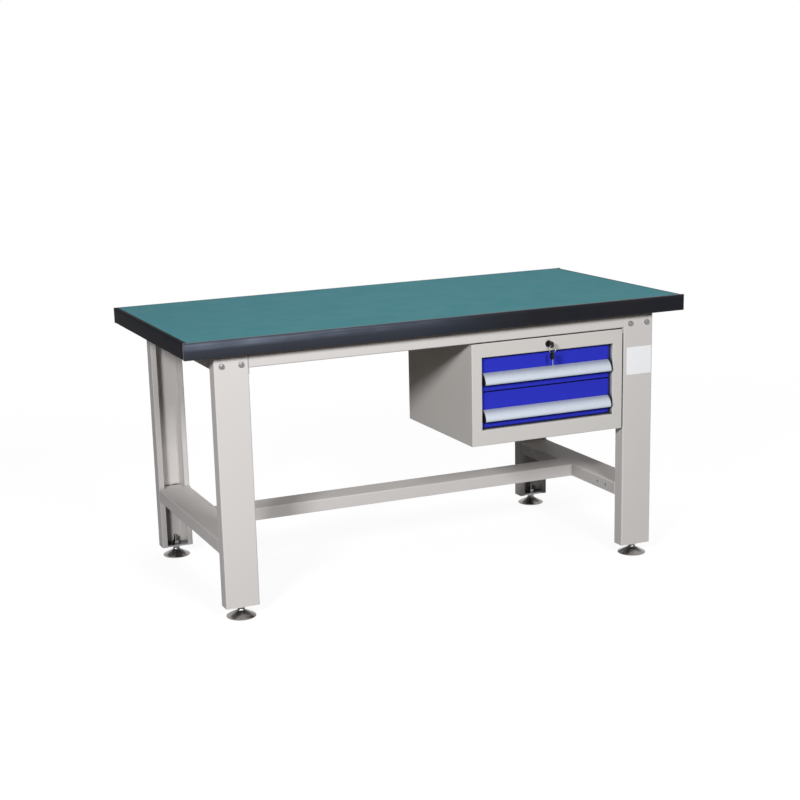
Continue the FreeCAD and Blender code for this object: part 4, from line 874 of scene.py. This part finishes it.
class BENCH_OT_lock(bpy.types.Operator):
    """Finish the lock and make the key blades and the split ring"""

    bl_idname = "bench.lock"
    bl_label = "Lock and keys"

    fine_grain = (300.0, 300.0, 300.0)
    brushed = (900.0, 40.0, 900.0)
    cuts = (0.0011, 0.0019, 0.0008, 0.0016)
    cut_pitch = 0.0042

    def execute(self, context):
        trim, finishes = context.scene.bench_trim, context.scene.bench_finishes
        dark = metal_finish("plated lock", finishes.lock_metal, gloss=0.2, stretch=self.fine_grain, depth=0.1)
        dress(dark, ["lock_housing", "lock_plug", "lock_cam"])
        dress(plastic_finish(finishes.plastic), ["key_bow", "spare_key_bow"])
        bright = metal_finish("key steel", finishes.bright_metal, gloss=0.24, stretch=self.brushed)
        low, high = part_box("key_ring")
        radius = (high.x - low.x - trim.ring_wire) / 2
        ring = split_ring_surface(np.array((low + high) / 2), radius, trim.ring_wire)
        build_piece("split_ring", [ring], bright, "hanging_key", ["key_ring"])
        self.cut_blade(bright, "key_blade", "lock", (0, 1, 0))
        self.cut_blade(bright, "spare_key_blade", "hanging_key", (0, 0, -1))
        return {"FINISHED"}

    def cut_blade(self, finish, node, body, along):
        """Blade with its cuts in the place of a plain one, from the bow to the tip."""
        low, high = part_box(node)
        size, middle = np.array(high - low), np.array((low + high) / 2)
        reach = float(np.abs(size @ np.abs(along)))
        width = size[1] if along[2] else size[2]
        blade = blade_surface(reach, width, size[0], self.cuts, self.cut_pitch)
        start = middle - np.array(along) * reach / 2
        build_piece(f"cut_{node}", [stand(blade, start, along)], finish, body, [node])


class BENCH_OT_plate(bpy.types.Operator):
    """Set the blank plate on the right front leg"""

    bl_idname = "bench.plate"
    bl_label = "Blank plate"

    def execute(self, context):
        trim = context.scene.bench_trim
        low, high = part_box("right_front_leg")
        half_width, half_height = trim.plate_width / 2, trim.plate_height / 2
        slab = slab_surface(half_width, half_height, trim.plate_corner, trim.plate_thickness)
        place = (high.x - trim.plate_inset - half_width, low.y, trim.plate_level)
        finish = plate_finish(context.scene.bench_finishes.plate)
        build_piece("leg_plate", [stand(slab, place, (0, -1, 0))], finish, "bench")
        return {"FINISHED"}


class BENCH_OT_welds(bpy.types.Operator):
    """Weld the lower rails into the legs, with tongues between the legs' lips"""

    bl_idname = "bench.welds"
    bl_label = "Welds"

    fold = 0.003
    lip_width = 0.016
    lip_clearance = 0.0005
    tongue_seam = 0.0004
    tongue_corner = 0.002
    end_radius = 0.0015
    waver = (0.0, 0.0012, -0.0006, 0.0009, -0.0011, 0.0004, 0.0014, -0.0002, 0.0)

    def execute(self, context):
        trim, finishes = context.scene.bench_trim, context.scene.bench_finishes
        sheet, ripple = trim.frame_sheet, trim.weld_ripple
        beads, tongues, ends = [], [], []
        for side in SIDES:
            low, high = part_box(f"{side}_lower_rail")
            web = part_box(f"{side}_rear_leg")[1].y - sheet
            for way in (-1, 1):
                for edge, inward in ((low.x, 1), (high.x, -1)):
                    path = self.corner_path(edge, inward, way * high.y, low.z, high.z)
                    beads.append(bead_surface(path, trim.weld_radius, ripple))
                tongues.append(self.tongue(low, high, web, way, sheet))
                end = self.end_path(low, high, web, way)
                ends.append(bead_surface(end, self.end_radius, ripple))
        paint = painted_finish("painted welds", finishes.weld, gloss=0.45, drift=0.1)
        build_piece("frame_welds", beads, paint, "bench")
        sheet_paint = painted_finish("tongue powder coat", finishes.frame_paint)
        build_piece("rail_tongues", tongues, sheet_paint, "bench")
        # Dark beads across the ends of the tongues
        dark_beads = painted_finish("scorched welds", finishes.dark_weld, gloss=0.55, drift=0.3)
        build_piece("tongue_welds", ends, dark_beads, "bench")
        return {"FINISHED"}

    def corner_path(self, edge, inward, end, bottom, top):
        """Up the rail's side, round its fold and in along its top as far as the leg's lip."""
        fold = self.fold
        across = edge + inward * np.array((0, 0, fold / 3, fold, self.lip_width))
        levels = (bottom, top - fold, top - fold / 3, top, top)
        return np.stack((across, np.full_like(across, end), levels), axis=-1)

    def tongue(self, low, high, web, way, sheet):
        """Sheet that runs on from the rail's top between the lips to the leg's web."""
        half_width = (high.x - low.x) / 2 - self.lip_width - self.lip_clearance
        slab = slab_surface(half_width, (web - high.y) / 2, self.tongue_corner, sheet)
        place = ((low.x + high.x) / 2, way * (web + high.y) / 2, high.z - sheet - self.tongue_seam)
        return stand(slab, place)

    def end_path(self, low, high, web, way):
        """Uneven line across the end of a tongue."""
        half_width = (high.x - low.x) / 2 - self.lip_width - self.end_radius
        across = (low.x + high.x) / 2 + np.linspace(-half_width, half_width, len(self.waver))
        level = high.z + np.array(self.waver)
        return np.stack((across, np.full_like(across, way * (web - self.end_radius)), level), axis=-1)


# Studio

CAMERA_PLACE = Vector((-1.8568, -4.2163, 1.4596))
CAMERA_AZIMUTH = math.radians(-21.178)
CAMERA_ELEVATION = math.radians(14.294)
CAMERA_ROLL = math.radians(-2.026)
CAMERA_FOCAL_PIXELS = 1586.74
CAMERA_CENTRE_PIXELS = (329.19, 463.81)
IMAGE_PIXELS = 800
SENSOR = 36.0
BENCH_MIDDLE = (CAD_BOX[0] + CAD_BOX[1]) / 2
WHITE = (1, 1, 1, 1)

# Each soft box's distance, width and height in metres, and whether shiny surfaces mirror it
LAMPS = {
    "key": (4.775, 0.75, 0.6, True),
    "front": (5.0, 0.9, 0.9, True),
    "top": (2.6, 1.8, 1.8, False),
    "back": (5.0, 2.4, 1.6, False),
    "side": (5.0, 2.4, 1.6, False),
}


def direction(turn, rise):
    """Way from the bench: turned from the front towards the right, then raised."""
    level = math.cos(rise)
    return Vector((math.sin(turn) * level, -math.cos(turn) * level, math.sin(rise)))


def aim_camera(scene):
    """Camera whose axes follow from azimuth, elevation and roll."""
    back = direction(CAMERA_AZIMUTH, CAMERA_ELEVATION)
    level = Vector((math.cos(CAMERA_AZIMUTH), math.sin(CAMERA_AZIMUTH), 0))
    upright = back.cross(level)
    right = math.cos(CAMERA_ROLL) * level + math.sin(CAMERA_ROLL) * upright
    up = math.cos(CAMERA_ROLL) * upright - math.sin(CAMERA_ROLL) * level
    data = bpy.data.cameras.new("photo camera")
    data.sensor_width = SENSOR
    data.lens = CAMERA_FOCAL_PIXELS / IMAGE_PIXELS * SENSOR
    data.shift_x = 0.5 - CAMERA_CENTRE_PIXELS[0] / IMAGE_PIXELS
    data.shift_y = CAMERA_CENTRE_PIXELS[1] / IMAGE_PIXELS - 0.5
    camera = bpy.data.objects.new("photo camera", data)
    turn = Matrix((right, up, back)).transposed().to_4x4()
    camera.matrix_world = Matrix.Translation(CAMERA_PLACE) @ turn
    scene.collection.objects.link(camera)
    scene.camera = camera


def hang_lamp(scene, stage, name):
    """Soft box that looks at the bench's middle from its azimuth and elevation."""
    distance, width, height, mirrored = LAMPS[name]
    way = direction(getattr(stage, f"{name}_azimuth"), getattr(stage, f"{name}_elevation"))
    data = bpy.data.lights.new(f"{name} lamp", "AREA")
    data.shape = "RECTANGLE"
    data.size, data.size_y = width, height
    data.energy = getattr(stage, f"{name}_power")
    lamp = bpy.data.objects.new(f"{name} lamp", data)
    place = Matrix.Translation(BENCH_MIDDLE + distance * way)
    lamp.matrix_world = place @ way.to_track_quat("Z", "Y").to_matrix().to_4x4()
    lamp.visible_glossy = mirrored
    scene.collection.objects.link(lamp)


def seen_directly(tree):
    """1 for camera, mirror and see-through rays, 0 for the rays that carry soft light."""
    path = add(tree, "ShaderNodeLightPath").outputs
    either = calc(tree, "MAXIMUM", path["Is Camera Ray"], path["Is Glossy Ray"])
    return calc(tree, "MAXIMUM", either, path["Is Transmission Ray"])


class BENCH_OT_stage(bpy.types.Operator):
    """Lay the floor, hang the lamps and set the camera"""

    bl_idname = "bench.stage"
    bl_label = "Studio"

    floor_reach = 30.0
    shade_near = 1.2
    shade_far = 4.0

    def execute(self, context):
        scene, stage = context.scene, context.scene.bench_stage
        self.lay_floor(scene, stage)
        self.light_sky(scene, stage.sky_level)
        for name in LAMPS:
            hang_lamp(scene, stage, name)
        aim_camera(scene)
        scene.view_settings.view_transform = "Standard"
        return {"FINISHED"}

    def lay_floor(self, scene, stage):
        """White floor: near the bench a share of its white takes shadow, further out none."""
        reach = self.floor_reach
        corners = [(-reach, -reach, 0), (reach, -reach, 0), (reach, reach, 0), (-reach, reach, 0)]
        mesh = bpy.data.meshes.new("studio floor")
        mesh.from_pydata(corners, [], [(0, 1, 2, 3)])
        constants = {"Roughness": 0.9, "Specular IOR Level": 0.0, "Emission Color": WHITE}
        material, tree = new_finish("studio floor", constants)
        away = add(tree, "ShaderNodeVectorMath", {0: object_place(tree)}, operation="LENGTH")
        taken = ramp(tree, away.outputs["Value"], self.shade_near, self.shade_far, stage.floor_shade, 0.0)
        left = calc(tree, "SUBTRACT", 1.0, calc(tree, "MULTIPLY", taken, stage.floor_level))
        glow = calc(tree, "MULTIPLY", seen_directly(tree), left)
        feed(tree, tree.nodes[SHADER], {"Base Color": taken, "Emission Strength": glow})
        mesh.materials.append(material)
        floor = bpy.data.objects.new("studio_floor", mesh)
        scene.collection.objects.link(floor)

    @staticmethod
    def light_sky(scene, level):
        """Sky that looks white and lights the bench at a low level."""
        world = bpy.data.worlds.new("studio sky")
        world.use_nodes = True
        tree = world.node_tree
        sky = tree.nodes["Background"]
        sky.inputs["Color"].default_value = WHITE
        feed(tree, sky, {"Strength": ramp(tree, seen_directly(tree), 0.0, 1.0, level, 1.0)})
        scene.world = world


PIECE_OPERATORS = (
    BENCH_OT_worktop,
    BENCH_OT_frame,
    BENCH_OT_cabinet,
    BENCH_OT_drawers,
    BENCH_OT_fixings,
    BENCH_OT_feet,
    BENCH_OT_lock,
    BENCH_OT_plate,
    BENCH_OT_welds,
    BENCH_OT_stage,
)
SETTING_GROUPS = {"bench_finishes": BenchFinishes, "bench_trim": BenchTrim, "bench_stage": BenchStage}


class BENCH_PT_sidebar(bpy.types.Panel):
    """Steps and settings of the bench"""

    bl_label = "Fitters workbench"
    bl_space_type = "VIEW_3D"
    bl_region_type = "UI"
    bl_category = "Workbench"

    def draw(self, context):
        for operator in PIECE_OPERATORS:
            self.layout.operator(operator.bl_idname)
        for name, group in SETTING_GROUPS.items():
            column = self.layout.column(align=True)
            for setting in group.__annotations__:
                column.prop(getattr(context.scene, name), setting)


CLASSES = (*SETTING_GROUPS.values(), *PIECE_OPERATORS, BENCH_PT_sidebar)


def register():
    for item in CLASSES:
        bpy.utils.register_class(item)
    for name, group in SETTING_GROUPS.items():
        setattr(bpy.types.Scene, name, bpy.props.PointerProperty(type=group))


def unregister():
    for name in SETTING_GROUPS:
        delattr(bpy.types.Scene, name)
    for item in reversed(CLASSES):
        bpy.utils.unregister_class(item)


def main():
    register()
    for operator in PIECE_OPERATORS:
        family, step = operator.bl_idname.split(".")
        getattr(getattr(bpy.ops, family), step)()


if __name__ == "__main__":
    main()
